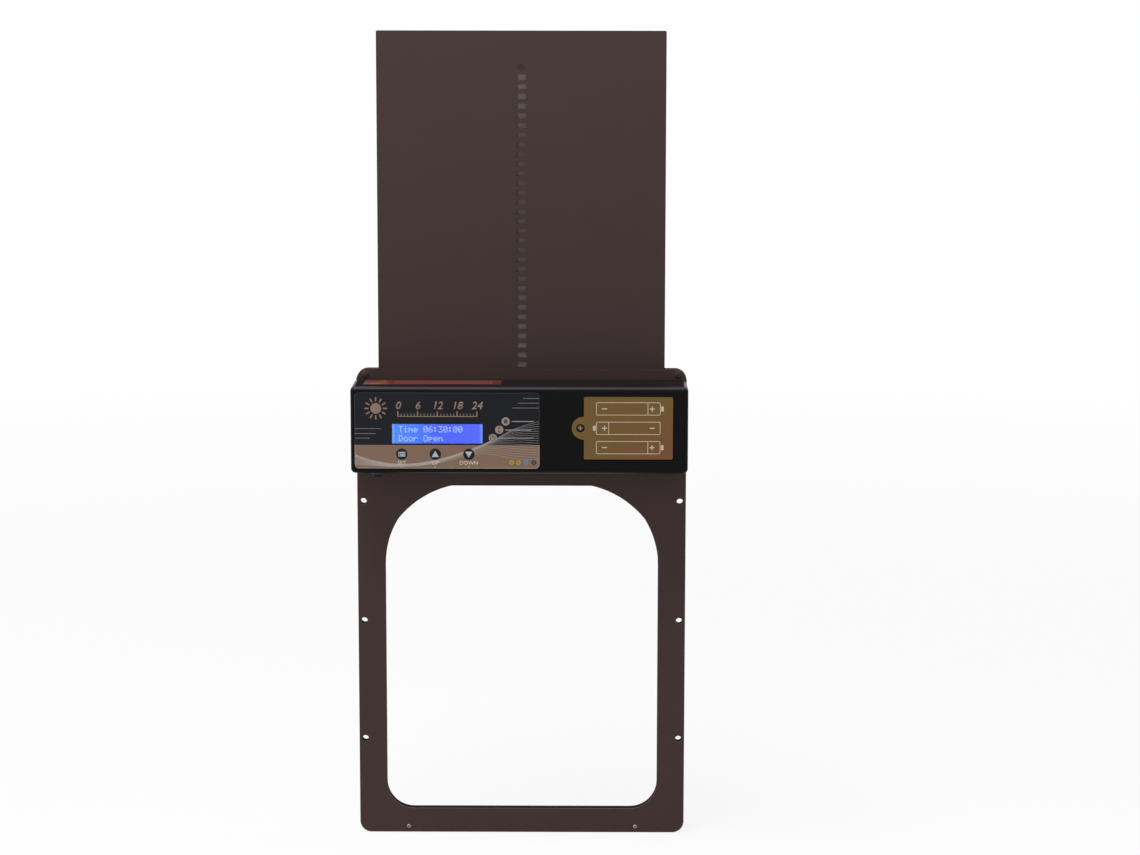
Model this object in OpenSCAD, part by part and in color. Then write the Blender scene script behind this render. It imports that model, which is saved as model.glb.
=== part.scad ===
// Automatic coop door: a sheet panel lifted between two frame plates by a geared motor.
// X runs along the width, Y points from the room towards the wall, Z points up.
// The origin is the middle of the wall screws, on the face that lies against the wall.

/* [Frame] */
// Width of both frame plates
frame_w = 240; // [232:1:270]
// Height of both frame plates
frame_h = 347; // [344:1:370]
// Radius of the frame's outer corners
frame_corner_r = 8.5; // [4:0.5:12]
// Thickness of each frame plate
plate_t = 1.5; // [1:0.1:2]
// Gap between the two plates, which the guide rails fill
channel_t = 5; // [4.6:0.1:7]
// Width of the frame's strips on each side of the doorway
side_w = 20; // [18:0.5:32]
// Height of the doorway
doorway_h = 243; // [236:0.5:246]
// Height of the sill above the frame's bottom edge
sill_h = 20; // [16:1:24]
// Radius of the doorway's lower corners
doorway_low_r = 20; // [6:1:50]
// Radius of the doorway's upper corners, below where a flatter arc takes over
doorway_top_r = 67; // [20:1:80]
// Step from the plate edges back to the rails and the sill spacer
edge_step = 0.8; // [0.4:0.1:1.5]

/* [Wall screws] */
// Radius of the six wall screw holes
wall_hole_r = 2.4; // [1.5:0.1:2.5]
// Distance from the frame's side edge to the hole axes
wall_hole_inset = 4.4; // [3.8:0.1:6]
// Height of the lowest pair of holes above the frame's bottom edge
wall_hole_base = 71.3; // [50:0.1:80]
// Distance between one pair of holes and the next
wall_hole_pitch = 89; // [70:1:92]

/* [Rivets] */
// Radius of the corner rivets' heads
corner_rivet_head_r = 3.1; // [2.5:0.05:3.4]
// Distance from the side edge to the corner rivets
corner_rivet_inset = 6.4; // [5:0.1:8]
// Distance from the top edge down to the corner rivets
corner_rivet_drop = 4.1; // [3.8:0.1:4.1]
// Radius of the sill rivets' heads
sill_rivet_head_r = 1.4; // [1.3:0.1:2.2]
// Distance between the two sill rivets
sill_rivet_span = 168; // [60:1:176]
// Height of the sill rivets above the frame's bottom edge
sill_rivet_h = 4.4; // [3.4:0.1:6]

/* [Door panel] */
// How far the panel reaches past the doorway on each side
panel_lap = 4; // [3:0.1:5]
// How far the closed panel reaches below the sill
sill_lap = 8.3; // [6:0.1:10]
// Thickness of the door panel
panel_t = 2; // [1.5:0.1:2.2]
// Gap between the front plate and the panel
panel_gap = 2; // [1.6:0.1:2.2]
// Gap between the panel and the groove it runs in
panel_play = 0.3; // [0.2:0.05:0.4]
// Number of drive slots
slot_count = 37; // [30:1:37]
// Width of a drive slot
slot_w = 7; // [6.8:0.1:12]
// Height of a drive slot
slot_h = 4; // [3.8:0.1:4.4]
// Distance from the panel's top edge to the middle of the first slot
slot_top = 33; // [20:0.5:34]

/* [Drive gear] */
// Module of the drive gear, whose pitch the slots follow
drive_module = 2.2; // [2.15:0.01:2.25]
// Number of teeth on the drive gear
drive_teeth = 10; // [10:1:12]
// Width of the drive gear's teeth
drive_w = 6; // [4:0.1:6.4]
// Thickness of a drive tooth at the pitch circle
drive_tooth_t = 3.3; // [2.8:0.05:3.4]
// Radius of the output shaft
shaft_r = 1.5; // [1.2:0.05:2]

/* [Gear motor] */
// Module of the small gears
train_module = 0.22; // [0.2:0.01:0.22]
// Teeth on each small pinion
pinion_teeth = 9; // [9:1:10]
// Teeth on each small wheel
wheel_teeth = 30; // [28:1:31]
// Distance along the shaft from one stage to the next
stage_pitch = 1.8; // [1.6:0.1:2.2]
// Width of each small wheel
wheel_w = 1; // [0.8:0.1:1.2]
// Long side of the gear motor's section
gm_h = 12; // [12:0.5:14]
// Short side of the gear motor's section
gm_d = 10; // [9.5:0.5:10.5]
// Length of the motor can
motor_l = 15; // [12:0.5:18]
// Distance from the middle of the drive gear to the gearbox
gm_offset = 8; // [7:0.1:12]

/* [Housing] */
// How far the housing reaches past the frame on each side, apart from its shift
housing_over = 0.8; // [0:0.1:4]
// Height of the housing
housing_h = 62.8; // [60:0.1:66]
// Depth of the housing
housing_d = 39.7; // [38:0.1:46]
// Radius of the housing's outer corners and front edges
housing_r = 3.5; // [1.5:0.1:5]
// Wall thickness of the housing
housing_wall = 2.2; // [1.8:0.1:2.6]
// Thickness of the housing's back
housing_back_t = 2; // [1.5:0.1:2.4]
// Distance from the frame's top edge down to the housing
housing_drop = 7.6; // [7:0.1:9]
// How far the housing sits to the left of the frame's middle
housing_shift = 0.8; // [0:0.1:1.5]

/* [Control panel] */
// Gap between the control overlay and the tab of the battery cover
overlay_gap = 22.6; // [18:0.1:28]
// Height of the control overlay
overlay_h = 54.7; // [52:0.1:55]
// Corner radius of the control overlay
overlay_r = 3; // [1:0.1:5]
// Thickness of the control overlay
overlay_t = 0.4; // [0.3:0.05:0.8]
// Distance from the housing's left side to the overlay
overlay_left = 3.1; // [2:0.1:6]
// Distance from the housing's bottom to the overlay
overlay_low = 3.9; // [2:0.1:6]
// Width of the display window
window_w = 64.8; // [58:0.1:66]
// Height of the display window
window_h = 14.4; // [12:0.1:15]
// Distance from the overlay's left edge to the display window
window_left = 26.7; // [24:0.1:32]
// Distance from the overlay's bottom edge to the display window
window_low = 17.8; // [17.4:0.1:19]
// Radius of the three button caps
button_r = 3.85; // [3:0.05:4.4]
// Distance between one button and the next
button_pitch = 24; // [14:0.1:26]
// Distance from the overlay's left edge to the first button
button_left = 33.6; // [30:0.1:40]
// Height of the buttons above the overlay's bottom edge
button_low = 10.3; // [9:0.1:10.6]
// How far the button caps stand proud of the overlay
button_proud = 0.5; // [0.3:0.05:1.2]
// How far a button can be pressed
button_travel = 0.5; // [0.3:0.05:0.6]
// Gap between a button cap and its hole
button_play = 0.2; // [0.15:0.05:0.4]

/* [Battery bay] */
// Diameter of a battery cell
cell_d = 14.2; // [13.6:0.1:14.4]
// Length of a battery cell with its contact stud
cell_l = 50.3; // [49:0.1:50.5]
// Distance between one cell's axis and the next
cell_pitch = 14.7; // [14.5:0.1:15]
// Length of a pressed contact spring
spring_l = 5.5; // [4:0.1:7]
// Thickness of the battery cover
cover_t = 2; // [1.6:0.1:2]
// Radius of the tab that carries the cover screw
tab_r = 8.7; // [7:0.1:9]
// Distance from the housing's right side to the cover
cover_right = 10.5; // [10.5:0.1:14]
// Thickness of the cover's label
label_t = 0.2; // [0.1:0.05:0.4]

/* [Power socket] */
// Radius of the socket's barrel
socket_r = 3.2; // [3:0.1:3.6]
// Radius of the socket's bore
socket_bore_r = 2.75; // [2.6:0.05:2.8]
// Distance from the housing's left side to the socket's axis
socket_left = 18.6; // [15:0.1:20]
// Distance from the front plate to the socket's axis
socket_y = 28; // [24:0.5:30]

/* [Hidden] */
$fn = 64;

// Colours
brown = [0.27, 0.22, 0.215];
black = [0.11, 0.11, 0.12];
steel = [0.72, 0.72, 0.74];
brass = [0.78, 0.62, 0.32];
board_green = [0.07, 0.3, 0.17];
strip_grey = [0.45, 0.44, 0.43];

eps = 0.01;
fit = 0.05;                                  // radial gap of a running or push fit
seat = 0.3;                                  // gap between neighbouring moving pieces

// Frame
frame_t = 2 * plate_t + channel_t;
origin_z = wall_hole_base + wall_hole_pitch;
doorway_w = frame_w - 2 * side_w;
crown_r = doorway_top_r + 3;                 // flatter arcs that finish the upper corners
crown_over = 5.3;                            // they end this far outside the doorway's sides
crown_drop = 5.5;                            // and lie this far under the corners' own top
hole_x = frame_w / 2 - wall_hole_inset;
rail_x0 = doorway_w / 2 + edge_step;
rivet_shank_r = 1.6;
rivet_dome = 0.9;
rivet_flare = 1;                             // countersunk end in the rear plate
rivet_x = frame_w / 2 - corner_rivet_inset;
rivet_z = frame_h - corner_rivet_drop;
sill_shank_r = 1;
sill_dome = 0.5;
sill_bore_r = 0.7;
sill_bore_l = 2;

// Housing, in the frame's coordinates
housing_w = frame_w + 2 * housing_over;
housing_x0 = -housing_w / 2 - housing_shift;
housing_x1 = housing_x0 + housing_w;
housing_z1 = frame_h - housing_drop;
housing_z0 = housing_z1 - housing_h;
front_y = -housing_d;                        // front face of the housing
inner_y = front_y + housing_wall;            // inside of its front wall
boss_r = 3.4;
boss_inset = housing_wall + boss_r;
gusset_drop = 4;                             // how far the gussets stop short of the back
gusset_t = 1.2;                              // ribs that tie the bosses to the walls
back_play = 0.2;                             // gap between the back and the shell's walls
screw_r = 1.2;
screw_len = 16;
countersink_r = 2.8;
head_flush = 0.3;                            // screw heads lie this far under the panel's side

// Drive
gear_drop = 30.7;                            // housing's top edge down to the drive gear's axis
gear_z = housing_z1 - gear_drop;
slot_pitch = PI * drive_module;
drive_pitch_r = drive_module * drive_teeth / 2;
drive_tip = 0.8;                             // tooth heights, in modules
drive_root = 1.1;
drive_tip_r = drive_pitch_r + drive_tip * drive_module;
panel_y = plate_t + panel_gap;
gear_y = panel_y - drive_pitch_r;
panel_w = doorway_w + 2 * panel_lap;
panel_corner_r = 1;
travel = (slot_count - 1) * slot_pitch;
closed_z = sill_h - sill_lap;                // lower edge of the closed panel
panel_z = closed_z + travel;
panel_h = gear_z + slot_top - closed_z;
first_slot_z = panel_z + panel_h - slot_top;
magnet_r = 2.4;
magnet_t = 1.5;
backing_t = 0.3;
backing_w = slot_w + 5;
sill_gap = 0.9;                              // left under the closed panel
spacer_top = closed_z - sill_gap;
window_half_w = drive_w / 2 + 2;
window_half_h = drive_tip_r;

// Gear train: axis A carries the motor pinion, wheel 2 and the output, axis B wheels 1 and 3
axis_gap = train_module * (pinion_teeth + wheel_teeth) / 2;
axis_b_z = gear_z - axis_gap;
gm_z = gear_z - axis_gap / 2;                // middle of the gear motor's section
gearplate_t = 0.8;
pressure_angle = 20;
train_tip = 1;
train_root = 1.25;
train_slack = 0.85;                          // share of half the pitch that a small tooth fills
stages = 4;
stage_gap = 0.2;                             // between the end stages and the plates
hub_gap = 0.1;                               // between one stage and the next
gearbox_l = 2 * (gearplate_t + stage_gap) + stages * stage_pitch;
gm_x0 = gm_offset;
gm_x1 = gm_x0 + gearbox_l;                   // motor side of the gearbox
journal_r = 0.4;
pillar_r = 0.7;
pillar_end_r = 0.5;                          // riveted ends in the plates
pillar_inset = 0.1;
can_end_l = 1;
can_end_r = 2.5;
can_tail_l = 2;
tag_y = 3.6;                                 // solder tags, from the middle of the can
tag_w = 2;
tag_t = 0.4;
journal_l = 3;
hub_r = 4;
hub_l = 2.5;
bush_wall = 1.2;
bush_r = shaft_r + fit + bush_wall;
bush_flange_t = 0.8;
bush_flange_r = bush_r + 0.8;
post_rim = 1.7;
post_w = 3;
post_x1 = -(drive_w / 2 + hub_l + seat);
shaft_x0 = post_x1 - post_w - 1;
clamp_w = 6;
clamp_t = 1.6;
clamp_x = gm_x1 + 4;
clamp_foot = 5;
clamp_play = 0.1;
clamp_screw_r = 0.8;
clamp_head_r = 1.8;
clamp_bite = 1.4;                            // how far the clamp screws go into the back
rib_t = 2;
rib_gap = 1;
rib_rim = 1.5;

// Battery bay, sized by its cells
cell_count = 3;
bay_l = cell_l + spring_l + 1.6;
bay_h = cell_count * cell_pitch + 0.4;
bay_d = cell_d + 0.6;
tray_wall = 1.4;
cover_lap_x = 3.6;
cover_lap_z = 0.8;
cover_rise = 1.1;                            // middle of the bay above the drive gear's axis
cover_x1 = housing_x1 - cover_right;
cover_x0 = cover_x1 - bay_l - 2 * cover_lap_x;
bay_x0 = cover_x0 + cover_lap_x;
bay_z0 = gear_z + cover_rise - bay_h / 2;
cover_z0 = bay_z0 - cover_lap_z;
cover_z1 = bay_z0 + bay_h + cover_lap_z;
cover_corner_r = 1;
cover_play = 0.3;
cover_rib_t = 1.2;
cover_rib_h = 1.4;
cover_rib_gap = 6;
tab_z = (cover_z0 + cover_z1) / 2;
cover_screw_x = cover_x0 - 2;
cover_head_r = 2.6;
cover_sink = 1.2;
cover_dome = 0.6;
cover_screw_l = 7;
label_inset = 0.5;
cross_l = 3;
cross_w = 0.6;
cross_h = 1.1;
rim = 1.5;                                   // tray flange beyond the cover's opening
tray_flange_t = 1.5;
tray_flange_y = inner_y + tray_flange_t;
tray_y1 = tray_flange_y + bay_d;
cell_y = tray_y1 - cell_d / 2 - fit;
contact_t = 0.4;
stud_l = 1.3;
stud_r = 2.6;
contact_w = 9;
contact_h = 11;
cradle_w = 3;
cradle_h = 3;
cradle_at = [0.3, 0.7];                      // along the bay, as shares of its length
tray_post_r = 2.9;                           // post that the cover screw goes into
tray_post_l = 7;
wire_r = 0.35;
spring_turns = 3;
spring_steps = 12;                           // per turn
spring_sides = 6;
spring_wide = 4.2;
spring_narrow = 2.6;

// Printed strip on top of the housing
strip_inset = 8.7;                           // from the housing's left side
strip_setback = 12;                          // from the housing's front face
strip_x0 = housing_x0 + strip_inset;
strip_y0 = front_y + strip_setback;
strip_l = 98.8;
strip_w = 23;
strip_r = 1;

// Control panel
overlay_x0 = housing_x0 + overlay_left;
overlay_w = cover_x0 - tab_r - overlay_gap - overlay_x0;
overlay_z0 = housing_z0 + overlay_low;
overlay_sink = overlay_t * 0.75;             // depth of the overlay's recess
overlay_play = 0.1;
window_x0 = overlay_x0 + window_left;
window_z0 = overlay_z0 + window_low;
button_x = [for (i = [0:2]) overlay_x0 + button_left + i * button_pitch];
button_z = overlay_z0 + button_low;
board_t = 1.6;
board_post_l = 4.4;                          // depth of the screw holes in the board's posts
board_depth = 8.7;
board_y = front_y + board_depth;             // front face of the controller board
board_left = 20.5;                           // clear of the power socket
board_right = 6;
board_gap = 3.1;
board_x0 = overlay_x0 + board_left;
board_x1 = overlay_x0 + overlay_w - board_right;
board_z0 = housing_z0 + housing_wall + board_gap;
board_z1 = housing_z1 - housing_wall - board_gap;
board_boss_r = 2.6;
board_screw_r = 1;
board_hole_inset = 4;
screw_head_t = 1.2;
board_holes = [for (x = [board_x0 + board_hole_inset, board_x1 - board_hole_inset],
                    z = [board_z0 + board_hole_inset, board_z1 - board_hole_inset]) [x, z]];
chip_w = 12;
chip_t = 1.6;
chip_gap = 10;
buzzer_r = 6;
buzzer_h = 6;
cap_r = 3.15;
cap_h = 8;
cap_inset = 24;
cap_pitch = 12;
cap_rise = 9;
plug_w = 6;
plug_l = 7;
plug_h = 10;
plug_pitch = 12;
plug_inset = 14;
backlight_t = 3;
display_margin = 2.2;                        // glass beyond the window on each side
window_frame = 1.2;                          // width of the raised frame round the window
flange_t = 1;
flange_gap = 0.1;                            // between the flange and the housing's front wall
cap_dome = 0.25;
flange_r = min(button_r + 0.9, window_z0 - display_margin - button_z - seat);
stem_r = 1.7;
key_h = 3.5;                                 // height of a key switch
key_w = 6;
stem_reach = 1;                              // length of stem inside the switch at rest
key_well = stem_reach + button_travel + 2 * seat;

// Power socket
socket_x = housing_x0 + socket_left;
socket_proud = 3.7;
socket_body_w = 9;
socket_body_h = 9;
socket_bore_l = 11;
pin_r = 1;
pin_sink = 1.4;
pin_tail_r = 0.8;
pin_tail_l = 6;
nut_r = 4.2;
nut_t = 2;
flute_r = 0.35;
flute_turn = 30;

// ---------- helpers ----------

module place() {
    translate([0, -frame_t, -origin_z]) children();
}

// Stands a flat (x, z) outline up as a plate from y to y + t
module slab(y, t) {
    translate([0, y + t, 0]) rotate([90, 0, 0]) linear_extrude(t) children();
}

// Extrudes a flat (y, z) outline along X from x to x + l
module along_x(x, l) {
    translate([x, 0, 0]) rotate([90, 0, 90]) linear_extrude(l) children();
}

module block(from, to) {
    translate(from) cube(to - from);
}

module rod_x(x, l, y, z, r) {
    translate([x, y, z]) rotate([0, 90, 0]) cylinder(r = r, h = l);
}

module rod_y(x, z, y, l, r, r_end = -1) {
    translate([x, y, z]) rotate([-90, 0, 0]) cylinder(r1 = r, r2 = r_end < 0 ? r : r_end, h = l);
}

// Rounded rectangle, with its own radius at the top where one is given
module rounded(x0, x1, z0, z1, r, top = -1) {
    rt = top < 0 ? r : top;
    translate([x0, z0 + r]) square([x1 - x0, z1 - z0 - r - rt]);
    translate([x0 + r, z0]) square([x1 - x0 - 2 * r, r + eps]);
    translate([x0 + rt, z1 - rt - eps]) square([x1 - x0 - 2 * rt, rt + eps]);
    for (x = [x0 + r, x1 - r]) translate([x, z0 + r]) circle(r);
    for (x = [x0 + rt, x1 - rt]) translate([x, z1 - rt]) circle(rt);
}

// Low dome with its flat side at y, bulging towards -Y
module dome(x, z, y, r, h) {
    big = (r * r + h * h) / (2 * h);
    intersection() {
        translate([x, y + big - h, z]) sphere(big);
        rod_y(x, z, y - h, h, r);
    }
}

// ---------- gear outlines ----------

function involute(a) = tan(a) * 180 / PI - a;

// Half the angle that a tooth covers at radius r
function half_tooth(m, z, t, r) =
    let (base = m * z / 2 * cos(pressure_angle))
    t / (m * z) * 180 / PI + involute(pressure_angle) - involute(acos(min(1, base / r)));

// Involute gear outline with tooth thickness t, and a tooth centred on angle turn
function gear_points(m, z, t, tip, root, turn) =
    let (
        pitch_r = m * z / 2,
        base = pitch_r * cos(pressure_angle),
        low = pitch_r - root * m,
        high = pitch_r + tip * m,
        start = max(base, low),
        steps = 4,
        flank = concat([[low, half_tooth(m, z, t, start)]],
            [for (i = [0:steps]) let (r = start + (high - start) * i / steps)
                [r, half_tooth(m, z, t, r)]]),
        last = len(flank) - 1
    )
    [for (k = [0:z - 1]) let (mid = turn + k * 360 / z)
        each concat(
            [for (i = [0:last]) flank[i][0] * [cos(mid - flank[i][1]), sin(mid - flank[i][1])]],
            [for (i = [last:-1:0]) flank[i][0] * [cos(mid + flank[i][1]), sin(mid + flank[i][1])]])];

// Turn that brings gear 2 into mesh with gear 1, seen from gear 1 at angle dir
function mesh_turn(turn1, z1, z2, dir) =
    dir + 180 - 180 / z2 + (dir - turn1) * z1 / z2;

module train_gear(teeth, turn, x, l, z) {
    tooth = train_slack * PI * train_module / 2;
    translate([0, gear_y, z]) along_x(x, l)
        polygon(gear_points(train_module, teeth, tooth, train_tip, train_root, turn));
}

// ---------- frame ----------

module frame_outline() {
    rounded(-frame_w / 2, frame_w / 2, 0, frame_h, frame_corner_r);
}

// Rounded opening whose upper corners are cut once more by a flatter arc
module doorway_outline() {
    top = sill_h + doorway_h;
    half_w = doorway_w / 2;
    intersection() {
        rounded(-half_w, half_w, sill_h, top + crown_drop, doorway_low_r, doorway_top_r);
        rounded(-half_w - crown_over, half_w + crown_over, 0, top, sill_h / 2, crown_r);
    }
}

// Holes that go through both plates and what lies between them
module through_holes() {
    for (x = [-hole_x, hole_x], row = [0:2])
        translate([x, wall_hole_base + row * wall_hole_pitch]) circle(wall_hole_r);
    for (x = [-rivet_x, rivet_x]) translate([x, rivet_z]) circle(rivet_shank_r + fit);
    for (x = [-1, 1]) translate([x * sill_rivet_span / 2, sill_rivet_h]) circle(sill_shank_r + fit);
}

module gear_window() {
    translate([-window_half_w, gear_z - window_half_h])
        square([2 * window_half_w, 2 * window_half_h]);
}

module at_housing_corners() {
    for (x = [housing_x0 + boss_inset, housing_x1 - boss_inset])
        for (z = [housing_z0 + boss_inset, housing_z1 - boss_inset])
            translate([x, 0, z]) children();
}

module front_plate() color(brown) place() difference() {
    slab(0, plate_t) difference() {
        frame_outline();
        doorway_outline();
        through_holes();
        gear_window();
    }
    at_housing_corners() {
        rod_y(0, 0, -eps, plate_t + 2 * eps, screw_r + fit);
        rod_y(0, 0, head_flush - 2 * fit, plate_t - head_flush + 2 * fit + eps,
              screw_r, countersink_r + fit);
    }
}

module rear_plate() color(brown) place() difference() {
    slab(plate_t + channel_t, plate_t) difference() {
        frame_outline();
        doorway_outline();
        through_holes();
    }
    for (x = [-rivet_x, rivet_x])
        rod_y(x, rivet_z, frame_t - rivet_flare, rivet_flare + eps,
              rivet_shank_r, rivet_shank_r + rivet_flare + fit);
}

// Grooved rail along one side, from the doorway's edge out to the plates' edge
module guide_rail(side) {
    groove_x = panel_w / 2 + panel_play;
    x_in = side > 0 ? rail_x0 : -frame_w / 2;
    difference() {
        slab(plate_t, channel_t) difference() {
            intersection() {
                rounded(edge_step - frame_w / 2, frame_w / 2 - edge_step, edge_step,
                        frame_h - edge_step, frame_corner_r - edge_step);
                translate([x_in, 0]) square([frame_w / 2 - rail_x0, frame_h]);
            }
            through_holes();
        }
        block([min(0, side * groove_x), panel_y - panel_play, -eps],
              [max(0, side * groove_x), panel_y + panel_t + panel_play, frame_h + eps]);
    }
}

module left_guide_rail() color(black) place() guide_rail(-1);

module right_guide_rail() color(black) place() guide_rail(1);

module sill_spacer() color(black) place() slab(plate_t, channel_t) difference() {
    translate([fit - rail_x0, edge_step]) square([2 * (rail_x0 - fit), spacer_top - edge_step]);
    through_holes();
}

module corner_rivets() color(brown) place() for (x = [-rivet_x, rivet_x]) {
    dome(x, rivet_z, 0, corner_rivet_head_r, rivet_dome);
    rod_y(x, rivet_z, -eps, frame_t, rivet_shank_r);
    rod_y(x, rivet_z, frame_t - rivet_flare, rivet_flare, rivet_shank_r, rivet_shank_r + rivet_flare);
}

module sill_rivets() color(steel) place() for (side = [-1, 1]) difference() {
    x = side * sill_rivet_span / 2;
    union() {
        dome(x, sill_rivet_h, 0, sill_rivet_head_r, sill_dome);
        rod_y(x, sill_rivet_h, -eps, frame_t, sill_shank_r);
    }
    rod_y(x, sill_rivet_h, -sill_dome - eps, sill_dome + sill_bore_l, sill_bore_r);
}

// ---------- door ----------

module at_magnets() {
    for (z = [first_slot_z + slot_pitch, first_slot_z - travel - slot_pitch])
        translate([0, 0, z]) children();
}

module door_panel() color(brown) place() difference() {
    slab(panel_y, panel_t) difference() {
        rounded(-panel_w / 2, panel_w / 2, panel_z, panel_z + panel_h, panel_corner_r);
        for (k = [0:slot_count - 1])
            translate([-slot_w / 2, first_slot_z - k * slot_pitch - slot_h / 2])
                square([slot_w, slot_h]);
    }
    at_magnets() rod_y(0, 0, panel_y - eps, magnet_t + eps, magnet_r + fit);
}

module slot_backing() color(strip_grey) place() slab(panel_y + panel_t, backing_t)
    translate([-backing_w / 2, first_slot_z - travel - slot_h])
        square([backing_w, travel + 2 * slot_h]);

module limit_magnets() color(steel) place() at_magnets() rod_y(0, 0, panel_y, magnet_t, magnet_r);

// ---------- housing ----------

// Box from z0 to z1 that is open to the back, with rounded side and front edges
module housing_body() {
    flat_y = front_y + housing_r;
    x0 = housing_x0 + housing_r;
    x1 = housing_x1 - housing_r;
    z0 = housing_z0 + housing_r;
    z1 = housing_z1 - housing_r;
    slab(flat_y, -flat_y) rounded(housing_x0, housing_x1, housing_z0, housing_z1, housing_r);
    block([x0, front_y, z0], [x1, flat_y + eps, z1]);
    for (z = [z0, z1]) rod_x(x0, x1 - x0, flat_y, z, housing_r);
    for (x = [x0, x1]) translate([x, flat_y, z0]) cylinder(r = housing_r, h = z1 - z0);
    for (x = [x0, x1], z = [z0, z1]) translate([x, flat_y, z]) sphere(housing_r);
}

// Outline of the battery cover, grown by g
module cover_outline(g) {
    rounded(cover_x0 - g, cover_x1 + g, cover_z0 - g, cover_z1 + g, cover_corner_r + max(0, g));
    translate([cover_x0, tab_z]) circle(tab_r + g);
}

// Two ribs that tie a corner boss to the walls beside it
module housing_gussets(left, low) {
    wall_x = left ? housing_x0 + housing_wall : housing_x1 - housing_wall;
    wall_z = low ? housing_z0 + housing_wall : housing_z1 - housing_wall;
    boss_x = left ? housing_x0 + boss_inset : housing_x1 - boss_inset;
    boss_z = low ? housing_z0 + boss_inset : housing_z1 - boss_inset;
    y1 = -housing_back_t - gusset_drop;
    block([min(wall_x, boss_x), inner_y - eps, boss_z - gusset_t / 2],
          [max(wall_x, boss_x), y1, boss_z + gusset_t / 2]);
    block([boss_x - gusset_t / 2, inner_y - eps, min(wall_z, boss_z)],
          [boss_x + gusset_t / 2, y1, max(wall_z, boss_z)]);
}

module housing_shell() color(black) place() difference() {
    union() {
        difference() {
            housing_body();
            block([housing_x0 + housing_wall, inner_y, housing_z0 + housing_wall],
                  [housing_x1 - housing_wall, eps, housing_z1 - housing_wall]);
        }
        at_housing_corners() rod_y(0, 0, inner_y - eps, -housing_back_t - inner_y, boss_r);
        for (left = [true, false], low = [true, false]) housing_gussets(left, low);
        for (p = board_holes) rod_y(p[0], p[1], inner_y - eps, board_y - inner_y + eps, board_boss_r);
        // Raised frame round the display window, which the glass lies against
        slab(inner_y - eps, seat - fit + eps) window_outline(window_frame);
    }
    at_housing_corners() rod_y(0, 0, -screw_len, screw_len, screw_r + fit);
    for (p = board_holes) rod_y(p[0], p[1], board_y - board_post_l, board_post_l + eps, board_screw_r + fit);
    slab(front_y - eps, overlay_sink + eps) overlay_outline(overlay_play);
    slab(front_y - eps, housing_wall + seat + 2 * eps) window_outline(0);
    for (x = button_x)
        rod_y(x, button_z, front_y - eps, housing_wall + 2 * eps, button_r + button_play);
    slab(front_y - eps, housing_wall + 2 * eps) cover_outline(cover_play);
    translate([socket_x, -socket_y, housing_z0 - eps])
        cylinder(r = socket_r + fit, h = housing_wall + 2 * eps);
}

module housing_back() color(black) place() difference() {
    back_edge = housing_wall + back_play;
    union() {
        slab(-housing_back_t, housing_back_t) difference() {
            translate([housing_x0 + back_edge, housing_z0 + back_edge])
                square([housing_w - 2 * back_edge, housing_h - 2 * back_edge]);
            gear_window();
        }
        // Post that carries the outer end of the shaft
        block([post_x1 - post_w, gear_y - bush_r - post_rim, gear_z - bush_r - post_rim],
              [post_x1, -housing_back_t + eps, gear_z + bush_r + post_rim]);
        // Two ribs that cradle the motor can from behind
        for (x = [clamp_x - rib_gap - rib_t, clamp_x + clamp_w + rib_gap]) block(
            [x, gear_y + gm_d / 2 - rib_t, gm_z - gm_h / 2 - rib_rim],
            [x + rib_t, -housing_back_t + eps, gm_z + gm_h / 2 + rib_rim]);
    }
    at_housing_corners() rod_y(0, 0, -housing_back_t - eps, housing_back_t + 2 * eps, screw_r + fit);
    rod_x(post_x1 - post_w - eps, post_w + 2 * eps, gear_y, gear_z, bush_r + fit);
    can_space(gm_x1 + eps, motor_l + can_tail_l, clamp_play);
    at_clamp_feet() rod_y(0, 0, -housing_back_t - eps, clamp_bite + seat, clamp_screw_r + fit);
}

module housing_screws() color(steel) place() at_housing_corners() {
    rod_y(0, 0, plate_t - screw_len + 2 * head_flush, screw_len - 2 * head_flush, screw_r);
    rod_y(0, 0, head_flush, plate_t - head_flush, screw_r, countersink_r);
}

module top_strip() color([0.5, 0.18, 0.14]) place() translate([0, 0, housing_z1])
    linear_extrude(label_t) rounded(strip_x0, strip_x0 + strip_l, strip_y0, strip_y0 + strip_w, strip_r);

// ---------- control panel ----------

module overlay_outline(g) {
    rounded(overlay_x0 - g, overlay_x0 + overlay_w + g, overlay_z0 - g,
            overlay_z0 + overlay_h + g, overlay_r + g);
}

module window_outline(g) {
    translate([window_x0 - g, window_z0 - g]) square([window_w + 2 * g, window_h + 2 * g]);
}

module control_overlay() color([0.13, 0.13, 0.17]) place()
    slab(front_y + overlay_sink - overlay_t, overlay_t) difference() {
        overlay_outline(0);
        window_outline(-fit);
        for (x = button_x) translate([x, button_z]) circle(button_r + button_play);
    }

module display_window() color([0.3, 0.45, 0.95, 0.6]) place()
    slab(front_y + overlay_sink - overlay_t, overlay_t) window_outline(-2 * fit);

// Glass and backlight, standing on the controller board behind the window
module display_module() color([0.2, 0.35, 0.9]) place() {
    glass_y = inner_y + seat;
    slab(glass_y, board_y - backlight_t - glass_y) window_outline(display_margin);
    slab(board_y - backlight_t, backlight_t) window_outline(display_margin - 1);
}

module controller_board() color(board_green) place() slab(board_y, board_t) difference() {
    translate([board_x0, board_z0]) square([board_x1 - board_x0, board_z1 - board_z0]);
    for (p = board_holes) translate(p) circle(board_screw_r + fit);
}

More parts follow.
